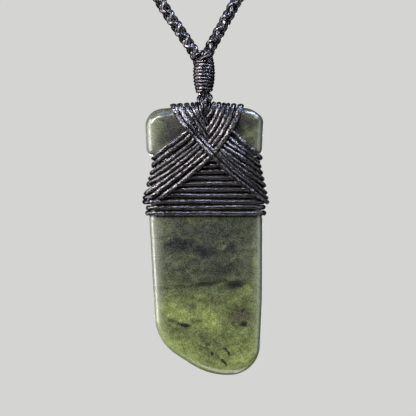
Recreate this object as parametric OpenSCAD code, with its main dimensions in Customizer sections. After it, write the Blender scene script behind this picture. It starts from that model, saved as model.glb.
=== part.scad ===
// Greenstone adze pendant, lashed with waxed thread and hung on a braided cord.
// Millimetres. The origin is the nape, at the middle of the cord behind the neck.
// +Z is up, the pendant's front faces -Y and +X is to the right of someone who looks at it.

/* [Stone] */
// Height of the stone, from its lowest point to the peak of its crest
stone_h = 49.9; // [49.4:0.1:50.1]
// Width of the head across its widest place
head_w = 21.6; // [21.2:0.1:22.4]
// Width of the waist just below the head
waist_w = 17.7; // [17.2:0.1:18]
// Width of the body just below the lashing
body_w = 20.8; // [20:0.1:21.2]
// Thickness of the head, waist and body
stone_t = 6.4; // [6:0.1:6.6]
// Thickness at the cutting edge
edge_t = 2.8; // [2.8:0.1:4]
// Radius of the rounding along every edge
edge_r = 1.3; // [1:0.1:1.3]
// Height of the cutting edge's raised end over its lowest point
slant_h = 6.3; // [4:0.1:8]

/* [Lashing] */
// Diameter of the waxed thread
thread_d = 0.7; // [0.6:0.05:0.7]
// Diameter of the thread where it is pulled tight over the crest
tight_d = 0.52; // [0.4:0.02:0.56]
// Clear space between one piece and the next
gap = 0.12; // [0.1:0.01:0.14]
// Level turns round the waist
waist_turns = 9; // [6:1:9]
// Threads in each of the two slanting families
slant_threads = 7; // [3:1:7]

/* [Whipping] */
// Height of the whipping
whipping_h = 7; // [6:0.1:7]
// Turns in the whipping
whipping_turns = 11; // [8:1:12]
// Width of the whipping at its middle
whipping_w = 4.3; // [3.8:0.1:4.6]
// Thickness of the loop's two threads together, where they pass over the crest
loop_d = 1.1; // [0.8:0.05:1.1]

/* [Cord] */
// Diameter of the braided cord
cord_d = 2.2; // [1.6:0.1:2.2]

/* [Hidden] */

// The stone's lowest point, under the middle of its crest
LOW_POINT = [0, -140, -259];

// Outline of the stone from the front, clockwise from the crest
crest_r = 60;
crest_rise = 1;
head_r = 3.3;
head_lean = 0.4;
head_taper = 0.45;
shoulder_z = stone_h - 9;
shoulder_r = 1.4;
waist_top = shoulder_z - 0.6;
waist_r = 0.4;
body_top = 29;
body_r = 6;
lean = 0.05;
OUTLINE = [ // x from the middle line, z over the lowest point, corner radius
    [0, stone_h, crest_r],
    [head_w / 2 - 2.4, stone_h - 0.7, 4],
    [head_w / 2 - 0.15, stone_h - 2.4, 1.8],
    [head_w / 2 - head_taper, shoulder_z, shoulder_r],
    [waist_w / 2, waist_top, waist_r],
    [body_w / 2 + lean, body_top, body_r],
    [body_w / 2 - 0.02, body_top - 15, 30],
    [body_w / 2 - 0.6, 0.1, 5.5],
    [0.4, 0, 12],
    [1.35 - body_w / 2, slant_h, 8.6],
    [lean - body_w / 2, body_top, body_r],
    [-waist_w / 2, waist_top, waist_r],
    [-head_w / 2, shoulder_z, shoulder_r],
    [-head_w / 2 - head_lean, stone_h - crest_rise, head_r]
];
arc_step = 15;
side_fill = 0.98;
thinning_z = 20;
stone_middle = [0, 39];
edge_angles = [0, 30, 60, 90];
face_shares = [0.87, 0.7, 0.4];

// Lashing: how far the middle of a thread lies over the stone, in layers
thread_r = thread_d / 2;
tight_r = tight_d / 2;
first_layer = thread_r + gap;
layer = thread_d + gap;
thread_sides = 6;
lowest_turn = 30.2;
highest_turn = 38.84;
turn_pitch = (highest_turn - lowest_turn) / (waist_turns - 1);
loop_steps = 16;
tight_share = 0.45;
full_share = 0.75;
knee_bend = 0.3;
cross_reach = 1.4;
cross_ramp = 1.2;
waist_ramp = 1.4;
TO_RIGHT = 0;
TO_LEFT = 1;
// Each row is a family: the side it runs to, then its outermost and innermost threads
SLANTS = [ // [x at the crest, knee x, knee z, side z]
    [1, [-6.2, -0.3, 42, 31.6], [-0.95, 0, 47.8, 39.2]],
    [-1, [6.3, 3, 44.6, 31.6], [0.95, 0.3, 48.3, 39.2]]
];

// Loop: half of its route over the crest, up from its tucked end
loop_low_d = 0.7;
loop_sides = 8;
LOOP_ROUTE = [ // y, z
    [-5.4, 47.2], [-5.45, 48.2], [-5.3, 49.2], [-4.8, 50.1], [-3.9, 50.8], [-2.7, 51.2], [-1.3, 51.35]
];

// Whipping
whipping_z = 52;
whipping_low_r = 1.5;
whipping_top_r = 1.7;
whipping_rib = 0.3;
rib_shares = [0, 0.25, 0.5, 0.75];

// Cord: route of its middle line from the whipping's top round the neck and back
cord_sides = 8;
span_rings = 3;
CORD_ROUTE = [
    [-2.05, -140, -199.82], [-2.32, -140, -198.95], [-4.7, -140, -195.4], [-9.1, -139.5, -188.6],
    [-21.4, -137, -167], [-42, -130, -128], [-60, -118, -94], [-74, -98, -62],
    [-80, -72, -36], [-74, -44, -18], [-56, -20, -7], [-30, -5, -1],
    [0, 0, 0],
    [30, -5, -1], [56, -20, -7], [74, -44, -18], [80, -72, -36],
    [74, -98, -62], [60, -118, -94], [42, -130, -128], [19, -137, -167],
    [6.4, -139.5, -188.6], [2.6, -140, -195.4], [0.7, -140, -198.9], [0.5, -140, -199.7]
];

function unit(v) = v / norm(v);
function mix(a, b, share) = a + (b - a) * share;
function smooth(share) = let (s = min(1, max(0, share))) s * s * (3 - 2 * s);

// Points of the arc that rounds the corner b between a and c
function corner_arc(a, b, c, r) =
    let (
        to_a = unit(a - b),
        to_c = unit(c - b),
        half = acos(to_a * to_c) / 2,
        middle = b + unit(to_a + to_c) * r / sin(half),
        start = b + to_a * r / tan(half) - middle,
        sweep = 180 - 2 * half,
        turn = sign(cross(to_a, to_c)),
        count = max(2, ceil(sweep / arc_step))
    )
    [for (i = [0 : count])
        let (angle = -turn * sweep * i / count)
        middle + [start.x * cos(angle) - start.y * sin(angle), start.x * sin(angle) + start.y * cos(angle)]];

// Corner i of an outline's table
function corner_at(table, i) = let (row = table[(i + len(table)) % len(table)]) [row.x, row.y];

// How much of a side the rounding of corner i takes up
function arc_reach(table, i) =
    let (
        here = corner_at(table, i),
        to_a = unit(corner_at(table, i - 1) - here),
        to_c = unit(corner_at(table, i + 1) - here)
    )
    table[(i + len(table)) % len(table)][2] / tan(acos(to_a * to_c) / 2);

// Share of their radii that corner i and the one after it can have, so that both fit on the side between them
function side_share(table, i) =
    let (side = norm(corner_at(table, i + 1) - corner_at(table, i)))
    min(1, side_fill * side / (arc_reach(table, i) + arc_reach(table, i + 1)));

function rounded(table) = [
    for (i = [0 : len(table) - 1])
        let (share = min(side_share(table, i - 1), side_share(table, i)))
        each corner_arc(
            corner_at(table, i - 1), corner_at(table, i), corner_at(table, i + 1), table[i][2] * share
        )
];

// How far each corner of a clockwise outline moves for an inset of 1
function inset_moves(outline) = [
    for (i = [0 : len(outline) - 1])
        let (
            behind = unit(outline[i] - outline[(i + len(outline) - 1) % len(outline)]),
            ahead = unit(outline[(i + 1) % len(outline)] - outline[i]),
            inward = [behind.y + ahead.y, -behind.x - ahead.x]
        )
        2 * inward / (inward * inward)
];

// Half of the stone's thickness at height z
function half_t(z) =
    mix(edge_t, stone_t, 1 - pow(1 - min(1, max(0, z / thinning_z)), 2)) / 2;

// One ring of points on the stone: inset from its outline, drawn in to a share, on one face
function stone_ring(outline, moves, inset, share, rise, face) = [
    for (i = [0 : len(outline) - 1])
        let (p = mix(stone_middle, outline[i] + moves[i] * inset, share))
        [p.x, face * (half_t(p.y) - edge_r + rise), p.y]
];

function edge_rings(outline, moves, face) = [
    for (angle = edge_angles)
        stone_ring(outline, moves, edge_r * (1 - cos(angle)), 1, edge_r * sin(angle), face)
];

function face_rings(outline, moves, face) = [
    for (share = face_shares) stone_ring(outline, moves, edge_r, share, edge_r, face)
];

function backwards(list) = [for (i = [len(list) - 1 : -1 : 0]) list[i]];

// Walls between rings of the same number of points, from the first ring to the last
function ring_walls(rings, sides, start, looped) = [
    for (i = [0 : rings - (looped ? 1 : 2)], j = [0 : sides - 1])
        let (
            here = start + i * sides,
            next = start + ((i + 1) % rings) * sides,
            k = (j + 1) % sides
        )
        each [[here + j, next + k, here + k], [here + j, next + j, next + k]]
];

module stone() {
    outline = rounded(OUTLINE);
    moves = inset_moves(outline);
    sides = len(outline);
    rings = concat(
        backwards(face_rings(outline, moves, -1)),
        backwards(edge_rings(outline, moves, -1)),
        edge_rings(outline, moves, 1),
        face_rings(outline, moves, 1)
    );
    centre = half_t(stone_middle.y);
    front_centre = len(rings) * sides;
    back_centre = front_centre + 1;
    last_ring = (len(rings) - 1) * sides;
    points = concat(
        [for (ring = rings) each ring],
        [[stone_middle.x, -centre, stone_middle.y], [stone_middle.x, centre, stone_middle.y]]
    );
    faces = concat(
        ring_walls(len(rings), sides, 0, false),
        [for (j = [0 : sides - 1]) [front_centre, j, (j + 1) % sides]],
        [for (j = [0 : sides - 1]) [back_centre, last_ring + (j + 1) % sides, last_ring + j]]
    );
    color("darkolivegreen") translate(LOW_POINT) polyhedron(points, faces);
}

// Rings of points round a path, which reference keeps from twisting
function tube_points(path, radii, reference, sides, looped) = [
    for (i = [0 : len(path) - 1])
        let (
            last = len(path) - 1,
            ahead = path[looped ? (i + 1) % len(path) : min(i + 1, last)],
            behind = path[looped ? (i + last) % len(path) : max(i - 1, 0)],
            along = unit(ahead - behind),
            out = unit(reference - along * (reference * along)),
            across = cross(along, out)
        )
        for (j = [0 : sides - 1])
            let (angle = j * 360 / sides)
            path[i] + radii[i] * (out * cos(angle) + across * sin(angle))
];

function end_caps(rings, sides) = [
    [for (j = [0 : sides - 1]) j],
    [for (j = [sides - 1 : -1 : 0]) (rings - 1) * sides + j]
];

// Closed rings of thread, each given as its path, its radii and its reference direction
module thread_rings(threads) {
    rings = len(threads[0][0]);
    points = [for (thread = threads) each tube_points(thread[0], thread[1], thread[2], thread_sides, true)];
    faces = [
        for (i = [0 : len(threads) - 1]) each ring_walls(rings, thread_sides, i * rings * thread_sides, true)
    ];
    polyhedron(points, faces);
}

// One open tube with flat ends
module tube(path, radii, reference, sides) {
    polyhedron(
        tube_points(path, radii, reference, sides, false),
        concat(ring_walls(len(path), sides, 0, false), end_caps(len(path), sides))
    );
}

// x of the waist's side at height z, for the side that toward gives
function waist_x(toward, z) = lookup(z, [
    [body_top, body_w / 2 + toward * lean],
    [waist_top, waist_w / 2]
]);

// One level turn, with rounded corners where it goes round the stone's edges
function waist_turn(z) =
    let (
        round_r = edge_r + first_layer,
        flat_y = stone_t / 2 - edge_r
    )
    [for (quarter = [0 : 3], angle = edge_angles)
        let (
            toward = quarter < 1 || quarter > 2 ? 1 : -1,
            face = quarter < 2 ? 1 : -1,
            turned = quarter * 90 + angle,
            corner = [toward * (waist_x(toward, z) - edge_r), face * flat_y]
        )
        [corner.x + round_r * cos(turned), corner.y + round_r * sin(turned), z]];

module waist_wraps() {
    radii = [for (point = waist_turn(lowest_turn)) thread_r];
    color("dimgray") translate(LOW_POINT) thread_rings([
        for (i = [0 : waist_turns - 1]) [waist_turn(lowest_turn + i * turn_pitch), radii, [0, 0, 1]]
    ]);
}

// Height of the rounded crest at x
function crest_z(x) =
    let (cut_off = crest_r / cos(atan(2 * crest_rise / head_w)) - crest_r)
    stone_h - cut_off - x * x / (2 * crest_r);

// Share of the way from the crest to the side, eased round the knee, for t from -1 to 1
function past_knee(t) =
    (1 + t + sqrt(t * t + knee_bend * knee_bend) - sqrt(1 + knee_bend * knee_bend)) / 2;

// Front view of a slanting thread: x and z from over the crest to past the side
function slant_line(family, share, crest_lift) =
    let (
        toward = SLANTS[family][0],
        row = mix(SLANTS[family][1], SLANTS[family][2], share),
        crest = [row[0], crest_z(row[0]) + crest_lift],
        knee = [row[1], row[2]],
        side = [toward * (waist_x(toward, row[3]) + first_layer + layer), row[3]]
    )
    [for (i = [0 : loop_steps])
        let (t = -cos(180 * i / loop_steps))
        knee + (crest - knee) * past_knee(-t) + (side - knee) * past_knee(t)];

function as_lookup(line) = [for (p = line) [p.y, p.x]];

// How far a slanting thread lies over the stone: over the waist's turns, and over the other family
function slant_lift(family, p, inner, outer) =
    let (
        over_waist = smooth((highest_turn + layer + waist_ramp - p.y) / waist_ramp),
        past_inner = smooth((p.x - lookup(p.y, inner) + cross_reach + cross_ramp) / cross_ramp),
        before_outer = smooth((lookup(p.y, outer) - p.x + cross_reach + cross_ramp) / cross_ramp)
    )
    first_layer + layer * (over_waist + (family == TO_RIGHT ? past_inner * before_outer : 0));

// Depth of a thread's middle over the stone's rounded edge, at a distance in from that edge
function wrap_depth(inside, lift) =
    stone_t / 2 - edge_r + sqrt(max(0, pow(edge_r + lift, 2) - pow(max(0, edge_r - inside), 2)));

// One slanting thread: down the front, round the side, up the back and over the crest
function slant_loop(family, share, inner, outer) =
    let (
        toward = SLANTS[family][0],
        crest_x = mix(SLANTS[family][1][0], SLANTS[family][2][0], share),
        crest_lift = slant_lift(family, [crest_x, crest_z(crest_x)], inner, outer),
        line = slant_line(family, share, crest_lift),
        depths = [for (p = line)
            let (
                from_side = max(waist_x(toward, p.y) - toward * p.x, 2 * (p.y - waist_top)),
                inside = min(crest_z(p.x) - p.y, from_side)
            )
            wrap_depth(inside, slant_lift(family, p, inner, outer))],
        last = len(line) - 1
    )
    concat(
        [for (i = [0 : last]) [line[i].x, -depths[i], line[i].y]],
        [for (i = [last : -1 : 0]) [line[i].x, depths[i], line[i].y]]
    );

function slant_radii() =
    let (front = [
        for (i = [0 : loop_steps])
            let (share = (i / loop_steps - tight_share) / (full_share - tight_share))
            mix(tight_r, thread_r, smooth(share))
    ])
    concat(front, backwards(front));

function slant_family(family) =
    let (
        inner = as_lookup(slant_line(TO_LEFT, 1, first_layer)),
        outer = as_lookup(slant_line(TO_LEFT, 0, first_layer)),
        radii = slant_radii()
    )
    [for (i = [0 : slant_threads - 1])
        let (
            loop = slant_loop(family, i / (slant_threads - 1), inner, outer),
            run = loop[loop_steps] - loop[0]
        )
        [loop, radii, [run.z, 0, -run.x]]];

module cross_lashing() {
    color("dimgray") translate(LOW_POINT)
        thread_rings(concat(slant_family(TO_RIGHT), slant_family(TO_LEFT)));
}

module hanging_loop() {
    front = [for (p = LOOP_ROUTE) [0, p.x, p.y]];
    back = backwards([for (p = LOOP_ROUTE) [0, -p.x, p.y]]);
    path = concat(front, [[0, 0, whipping_z - gap - loop_d / 2]], back);
    last = len(path) - 1;
    radii = [for (i = [0 : last]) mix(loop_low_d, loop_d, smooth(min(i, last - i) / len(LOOP_ROUTE))) / 2];
    color("dimgray") translate(LOW_POINT) tube(path, radii, [1, 0, 0], loop_sides);
}

function whipping_r(share) =
    let (bulge = (whipping_w - whipping_low_r - whipping_top_r) / 2)
    mix(whipping_low_r, whipping_top_r, share) + bulge * sin(180 * share);

module neck_whipping() {
    profile = [
        for (i = [0 : whipping_turns - 1], rib = rib_shares)
            let (share = (i + rib) / whipping_turns)
            [whipping_r(share) - whipping_rib * (1 - sin(180 * rib)), share * whipping_h]
    ];
    color("dimgray") translate(LOW_POINT + [0, 0, whipping_z])
        rotate_extrude($fn = 48)
            polygon(concat([[0, 0]], profile, [[whipping_top_r - whipping_rib, whipping_h], [0, whipping_h]]));
}

// A point between b and c on a smooth curve through a, b, c and d
function on_curve(a, b, c, d, t) =
    b + t / 2 * (c - a + t * (2 * a - 5 * b + 4 * c - d + t * (3 * b - a - 3 * c + d)));

function smooth_route(route, steps) =
    let (last = len(route) - 1)
    concat(
        [for (i = [0 : last - 1], j = [0 : steps - 1])
            on_curve(route[max(i - 1, 0)], route[i], route[i + 1], route[min(i + 2, last)], j / steps)],
        [route[last]]
    );

module braided_cord() {
    path = smooth_route(CORD_ROUTE, span_rings);
    color("black") tube(path, [for (p = path) cord_d / 2], [0, -1, 1], cord_sides);
}

stone();
waist_wraps();
cross_lashing();
hanging_loop();
neck_whipping();
braided_cord();
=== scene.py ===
import logging
import math
from dataclasses import dataclass, field
from enum import Enum
from functools import reduce

import bpy
import numpy as np
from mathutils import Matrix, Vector
from mathutils.geometry import delaunay_2d_cdt


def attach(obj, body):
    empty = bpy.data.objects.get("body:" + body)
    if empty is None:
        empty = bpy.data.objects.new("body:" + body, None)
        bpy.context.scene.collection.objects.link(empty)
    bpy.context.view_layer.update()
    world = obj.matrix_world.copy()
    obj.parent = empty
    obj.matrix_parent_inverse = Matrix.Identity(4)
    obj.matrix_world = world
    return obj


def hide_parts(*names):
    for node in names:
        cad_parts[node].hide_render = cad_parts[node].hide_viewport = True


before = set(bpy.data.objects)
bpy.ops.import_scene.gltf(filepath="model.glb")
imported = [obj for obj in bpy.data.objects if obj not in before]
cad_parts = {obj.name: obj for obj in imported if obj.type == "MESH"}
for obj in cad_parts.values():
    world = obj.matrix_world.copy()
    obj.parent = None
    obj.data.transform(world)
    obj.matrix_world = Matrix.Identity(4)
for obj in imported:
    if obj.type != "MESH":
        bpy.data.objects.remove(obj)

LOG = logging.getLogger("adze_pendant")
MM = 0.001
LOW_POINT_MM = np.array([0.0, -140.0, -259.0])
BODY = "root"
NOISE_SPAN = (0.3, 0.7)
MIX_FIRST, MIX_SECOND, MIX_RESULT = 6, 7, 2
FLOAT, INTEGER, GEOMETRY = "NodeSocketFloat", "NodeSocketInt", "NodeSocketGeometry"
VECTOR, MATERIAL = "NodeSocketVector", "NodeSocketMaterial"

Span = tuple[float, float]
Triple = tuple[float, float, float]
Colour = tuple[float, float, float, float]
Face = tuple[int, ...]
Values = np.ndarray | float
Piece = bpy.types.Object
Finish = bpy.types.Material
Tree = bpy.types.NodeTree
Socket = bpy.types.NodeSocket
Feed = Socket | float | Colour


class Slot(Enum):
    """The record's material slots."""

    GREENSTONE = "greenstone"
    THREAD = "waxed_thread"
    CORD = "braided_cord"


class Runs(Enum):
    """The side that a family of slanting threads runs down to."""

    TO_RIGHT = 1
    TO_LEFT = -1


def smooth(share: Values) -> np.ndarray:
    """An eased 0 to 1 step of a share from 0 to 1."""
    s = np.clip(share, 0.0, 1.0)
    return s * s * (3.0 - 2.0 * s)


def eased(value: Values, span: Span) -> np.ndarray:
    """0 below a span, 1 above it, and eased between."""
    return smooth((value - span[0]) / (span[1] - span[0]))


def unit(v: np.ndarray) -> np.ndarray:
    """The vector at length 1."""
    return v / np.linalg.norm(v)


def linear(red: float, green: float, blue: float) -> Colour:
    """A shader colour from the 0 to 255 values that a screen shows, by the sRGB curve.

    Args:
        red: The red value.
        green: The green value.
        blue: The blue value.

    Returns:
        The opaque colour.
    """

    def one(value: float) -> float:
        """One channel's share of full light."""
        share = value / 255.0
        return share / 12.92 if share <= 0.04045 else ((share + 0.055) / 1.055) ** 2.4

    return (one(red), one(green), one(blue), 1.0)


def to_row(points_mm: np.ndarray) -> np.ndarray:
    """Points of the pendant, in millimetres over its low point, as metres in the row's frame."""
    return (np.asarray(points_mm) + LOW_POINT_MM) * MM


def run_along(line: np.ndarray) -> np.ndarray:
    """Distance from a line's start to each of its points."""
    return np.concatenate([[0], np.cumsum(np.linalg.norm(np.diff(line, axis=0), axis=1))])


def curve_through(knots: np.ndarray, steps: int) -> np.ndarray:
    """A smooth curve through every knot, by the Catmull-Rom rule.

    Args:
        knots: The knots, as rows of coordinates.
        steps: The number of steps between each two knots.

    Returns:
        The curve's points, the last knot included.
    """
    last = len(knots) - 1
    t = np.linspace(0, 1, steps, endpoint=False)[:, None]
    pieces = []
    for i in range(last):
        a, b, c, d = (knots[min(max(i + k, 0), last)] for k in (-1, 0, 1, 2))
        pieces.append(b + t / 2 * (c - a + t * (2 * a - 5 * b + 4 * c - d + t * (3 * b - a - 3 * c + d))))
    return np.concatenate(pieces + [knots[-1:]])


def band_faces(rows: int, around: int, first: int = 0) -> list[Face]:
    """Faces between closed rings of points.

    Args:
        rows: The number of rings.
        around: The number of points in each ring.
        first: The number of the first ring's first point.

    Returns:
        The faces, ring by ring.
    """
    faces: list[Face] = []
    for low in range(first, first + (rows - 1) * around, around):
        for j in range(around):
            k = (j + 1) % around
            faces.append((low + j, low + k, low + around + k, low + around + j))
    return faces


def turned_form(
    profile: list[Span], middle: Span, sides: int, bowl: bool = False
) -> tuple[list[Triple], list[Face]]:
    """A form turned round an upright axis.

    Args:
        profile: Radius and height of each ring, from the lowest up. It starts on the axis, and that of a
            closed form ends there too.
        middle: The axis's x and y.
        sides: The number of points in a ring.
        bowl: Whether the form is open at its top and faces inward.

    Returns:
        The form's points and its faces.
    """
    x, y = middle
    rings = profile[1:] if bowl else profile[1:-1]
    points = [(x, y, profile[0][1])]
    for radius, z in rings:
        for j in range(sides):
            angle = 2 * math.pi * j / sides
            points.append((x + radius * math.cos(angle), y + radius * math.sin(angle), z))
    pairs = [(j, (j + 1) % sides) for j in range(sides)]
    faces = band_faces(len(rings), sides, 1) + [(0, 1 + k, 1 + j) for j, k in pairs]
    if bowl:
        return points, [face[::-1] for face in faces]
    top = len(points)
    points.append((x, y, profile[-1][1]))
    return points, faces + [(top, top - sides + j, top - sides + k) for j, k in pairs]


def new_object(name: str, data: bpy.types.ID) -> Piece:
    """A new object in the scene, at the origin.

    Args:
        name: Its name.
        data: Its mesh, light or camera.

    Returns:
        The object.
    """
    made = bpy.data.objects.new(name, data)
    bpy.context.scene.collection.objects.link(made)
    return made


def aim(thing: Piece, way: Vector) -> None:
    """Turns a light or the camera to look along a direction."""
    thing.rotation_mode = "QUATERNION"
    thing.rotation_quaternion = way.to_track_quat("-Z", "Y")


def mesh_object(name: str, points: np.ndarray | list, faces: list[Face]) -> Piece:
    """A smooth-shaded mesh object at the origin.

    Args:
        name: The object's name.
        points: Its vertices, in metres.
        faces: Its faces, as rows of vertex numbers.

    Returns:
        The linked object.
    """
    mesh = bpy.data.meshes.new(name)
    mesh.from_pydata([tuple(p) for p in points], [], faces)
    mesh.validate()
    mesh.shade_smooth()
    return new_object(name, mesh)


def store(mesh: bpy.types.Mesh, name: str, values: np.ndarray) -> None:
    """Keeps a value at each of a mesh's points, under a name.

    Args:
        mesh: The mesh.
        name: The name that node trees and finishes read it by.
        values: A number for each point, or a row of three for a vector.
    """
    kind, key = ("FLOAT", "value") if values.ndim == 1 else ("FLOAT_VECTOR", "vector")
    kept = mesh.attributes.new(name, kind, "POINT")
    kept.data.foreach_set(key, values.astype(np.float32).ravel())


@dataclass(frozen=True)
class Path:
    """A route that a thread follows, in metres, with its radius at each point.

    press is the share of its height that the thread keeps where it is pulled flat, and press_way the
    direction in which it is flattened.
    """

    points: np.ndarray
    radii: np.ndarray
    closed: bool = False
    press: np.ndarray | None = None
    press_way: np.ndarray | None = None


def path_object(name: str, paths: list[Path]) -> Piece:
    """A mesh of bare edges that carries every path, for a node tree to sweep.

    Args:
        name: The object's name.
        paths: The paths.

    Returns:
        The object, with the paths' radii and press stored at its points.
    """
    edges: list[tuple[int, int]] = []
    start = 0
    for path in paths:
        end = start + len(path.points) - 1
        edges += [(i, i + 1) for i in range(start, end)]
        if path.closed:
            edges.append((end, start))
        start = end + 1
    up = [0.0, 0.0, 1.0]
    press = [np.ones(len(p.points)) if p.press is None else p.press for p in paths]
    ways = [np.tile(up, (len(p.points), 1)) if p.press_way is None else p.press_way for p in paths]
    mesh = bpy.data.meshes.new(name)
    mesh.from_pydata([tuple(point) for path in paths for point in path.points], edges, [])
    store(mesh, "thread_radius", np.concatenate([p.radii for p in paths]))
    store(mesh, "press", np.concatenate(press))
    store(mesh, "press_way", np.concatenate(ways))
    return new_object(name, mesh)


def join_meshes(name: str, parts: list[Piece]) -> Piece:
    """Makes one object of several.

    Args:
        name: Its name.
        parts: The objects.

    Returns:
        The first part, which now holds all of them.
    """
    with bpy.context.temp_override(active_object=parts[0], selected_editable_objects=parts):
        bpy.ops.object.join()
    parts[0].name = name
    parts[0].data.name = name
    return parts[0]


def declare(piece: Piece, node: str) -> None:
    """Hangs a piece on the body, hides the CAD node that it replaces and logs its triangles.

    Args:
        piece: The finished piece.
        node: The CAD node.
    """
    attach(piece, BODY)
    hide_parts(node)
    triangles = sum(len(p.vertices) - 2 for p in piece.data.polygons)
    LOG.info("%s replaces %s: %d triangles", piece.name, node, triangles)


class Wiring:
    """Adds nodes to a node tree and links them."""

    def __init__(self, tree: Tree) -> None:
        """Keeps the tree."""
        self.tree = tree

    def link(self, source: Socket, target: Socket) -> None:
        """Links an output socket to an input socket."""
        self.tree.links.new(source, target)

    def add(self, kind: str, inputs: dict | None = None, **settings: object) -> bpy.types.Node:
        """One node.

        Args:
            kind: The node's type name.
            inputs: Values or output sockets, by the input socket's name or number.
            **settings: Properties of the node itself.

        Returns:
            The new node.
        """
        node = self.tree.nodes.new(kind)
        for key, value in settings.items():
            setattr(node, key, value)
        for key, value in (inputs or {}).items():
            if isinstance(value, Socket):
                self.link(value, node.inputs[key])
            else:
                node.inputs[key].default_value = value
        return node

    def out(
        self, kind: str, inputs: dict | None = None, output: int | str = 0, **settings: object
    ) -> Socket:
        """One output of a new node, by name or number; the rest is as in add."""
        return self.add(kind, inputs, **settings).outputs[output]

    def math(self, operation: str, *values: Feed) -> Socket:
        """The output of one Math node; geometry trees and shaders share its name."""
        return self.out("ShaderNodeMath", dict(enumerate(values)), operation=operation)

    def times(self, *factors: Feed) -> Socket:
        """The product of two values or more."""
        return reduce(lambda product, factor: self.math("MULTIPLY", product, factor), factors)

    def plus(self, first: Feed, second: Feed) -> Socket:
        """The sum of two values."""
        return self.math("ADD", first, second)

    def minus(self, first: Feed, second: Feed) -> Socket:
        """The difference of two values."""
        return self.math("SUBTRACT", first, second)

    def weigh(self, first: Feed, second: Feed, share: float) -> Socket:
        """Two values added, the first with a share of the weight and the second with the rest."""
        return self.plus(self.times(first, share), self.times(second, 1 - share))

    def vector(self, operation: str, first: Feed, second: Feed | Triple, output: str = "Vector") -> Socket:
        """The output of one Vector Math node."""
        return self.out("ShaderNodeVectorMath", {0: first, 1: second}, output, operation=operation)

    def scale(self, vector: Socket, factor: Feed) -> Socket:
        """A vector made longer or shorter."""
        return self.out("ShaderNodeVectorMath", {0: vector, "Scale": factor}, operation="SCALE")

    def turn(self, vector: Socket, angle: Feed) -> Socket:
        """A vector turned round Z by an angle in radians."""
        return self.out("ShaderNodeVectorRotate", {"Vector": vector, "Angle": angle}, rotation_type="Z_AXIS")

    def mix(self, share: Feed, first: Feed, second: Feed, blend: str = "MIX") -> Socket:
        """Two colours mixed by a share."""
        inputs = {0: share, MIX_FIRST: first, MIX_SECOND: second}
        return self.out("ShaderNodeMix", inputs, MIX_RESULT, data_type="RGBA", blend_type=blend)

    def step(self, value: Feed, span: tuple[Feed, Feed], reached: tuple[Feed, Feed] = (0.0, 1.0)) -> Socket:
        """A value eased from one span onto another."""
        inputs = dict(enumerate((value, *span, *reached)))
        return self.out("ShaderNodeMapRange", inputs, interpolation_type="SMOOTHSTEP")

    def noise(
        self, place: Socket, scale: Feed, detail: float, roughness: float = 0.5, output: int = 0
    ) -> Socket:
        """A noise's value, or its colour as output 1."""
        inputs = {"Vector": place, "Scale": scale, "Detail": detail, "Roughness": roughness}
        return self.out("ShaderNodeTexNoise", inputs, output)

    def attribute(self, name: str, output: str) -> Socket:
        """What a shader reads of a named attribute."""
        return self.out("ShaderNodeAttribute", None, output, attribute_name=name, attribute_type="GEOMETRY")

    def named(self, name: str, kind: str = "FLOAT") -> Socket:
        """What a geometry tree reads of a named attribute."""
        return self.out("GeometryNodeInputNamedAttribute", {"Name": name}, data_type=kind)

    def mark(self, geometry: Socket, name: str, value: Socket, kind: str = "FLOAT") -> Socket:
        """Geometry with a value stored at every point under a name."""
        inputs = {"Geometry": geometry, "Name": name, "Value": value}
        return self.out("GeometryNodeStoreNamedAttribute", inputs, data_type=kind, domain="POINT")

    def surface(self, kind: str, inputs: dict) -> None:
        """Ends a material with a shader."""
        self.add("ShaderNodeOutputMaterial", {0: self.out(kind, inputs)})


def new_tree(
    name: str, kind: str, inputs: dict[str, str], outputs: dict[str, str]
) -> tuple[Tree, Wiring, bpy.types.NodeOutputs, bpy.types.NodeInputs]:
    """An empty node group with named sockets.

    Args:
        name: The group's name.
        kind: GeometryNodeTree or ShaderNodeTree.
        inputs: Each input's socket type, by its name.
        outputs: Each output's socket type, by its name.

    Returns:
        The tree, its wiring, the sockets that it is given and the sockets that it fills.
    """
    tree = bpy.data.node_groups.new(name, kind)
    for way, sockets in (("INPUT", inputs), ("OUTPUT", outputs)):
        for label, socket_type in sockets.items():
            tree.interface.new_socket(name=label, in_out=way, socket_type=socket_type)
    w = Wiring(tree)
    return tree, w, w.add("NodeGroupInput").outputs, w.add("NodeGroupOutput").inputs


def new_material(name: str) -> tuple[Finish, Wiring]:
    """An empty material.

    Args:
        name: Its name.

    Returns:
        The material and its wiring.
    """
    material = bpy.data.materials.new(name)
    material.use_nodes = True
    material.node_tree.nodes.clear()
    return material, Wiring(material.node_tree)


def apply_tree(piece: Piece, tree: Tree, values: dict) -> None:
    """Runs a geometry tree on a piece and keeps the plain mesh that it gives.

    Args:
        piece: The object that holds the tree's input geometry.
        tree: The tree.
        values: The tree's named inputs.
    """
    modifier = piece.modifiers.new(tree.name, "NODES")
    modifier.node_group = tree
    for item in tree.interface.items_tree:
        if item.item_type == "SOCKET" and item.in_out == "INPUT" and item.name in values:
            modifier[item.identifier] = values[item.name]
    depsgraph = bpy.context.evaluated_depsgraph_get()
    mesh = bpy.data.meshes.new_from_object(
        piece.evaluated_get(depsgraph), preserve_all_data_layers=True, depsgraph=depsgraph
    )
    mesh.name = piece.name
    piece.modifiers.remove(modifier)
    routes = piece.data
    piece.data = mesh
    bpy.data.meshes.remove(routes)


@dataclass(frozen=True)
class Lay:
    """How a thread is laid: its plies, the depth of the crease between them, and its sides.

    The depth is a share of the thread's radius.
    """

    plies: float = 3.0
    ply_depth: float = 0.2
    sides: int = 12

    def values(self, finish: Finish) -> dict:
        """The inputs that both thread trees share."""
        return {"Plies": self.plies, "Ply depth": self.ply_depth, "Sides": self.sides, "Finish": finish}


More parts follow.
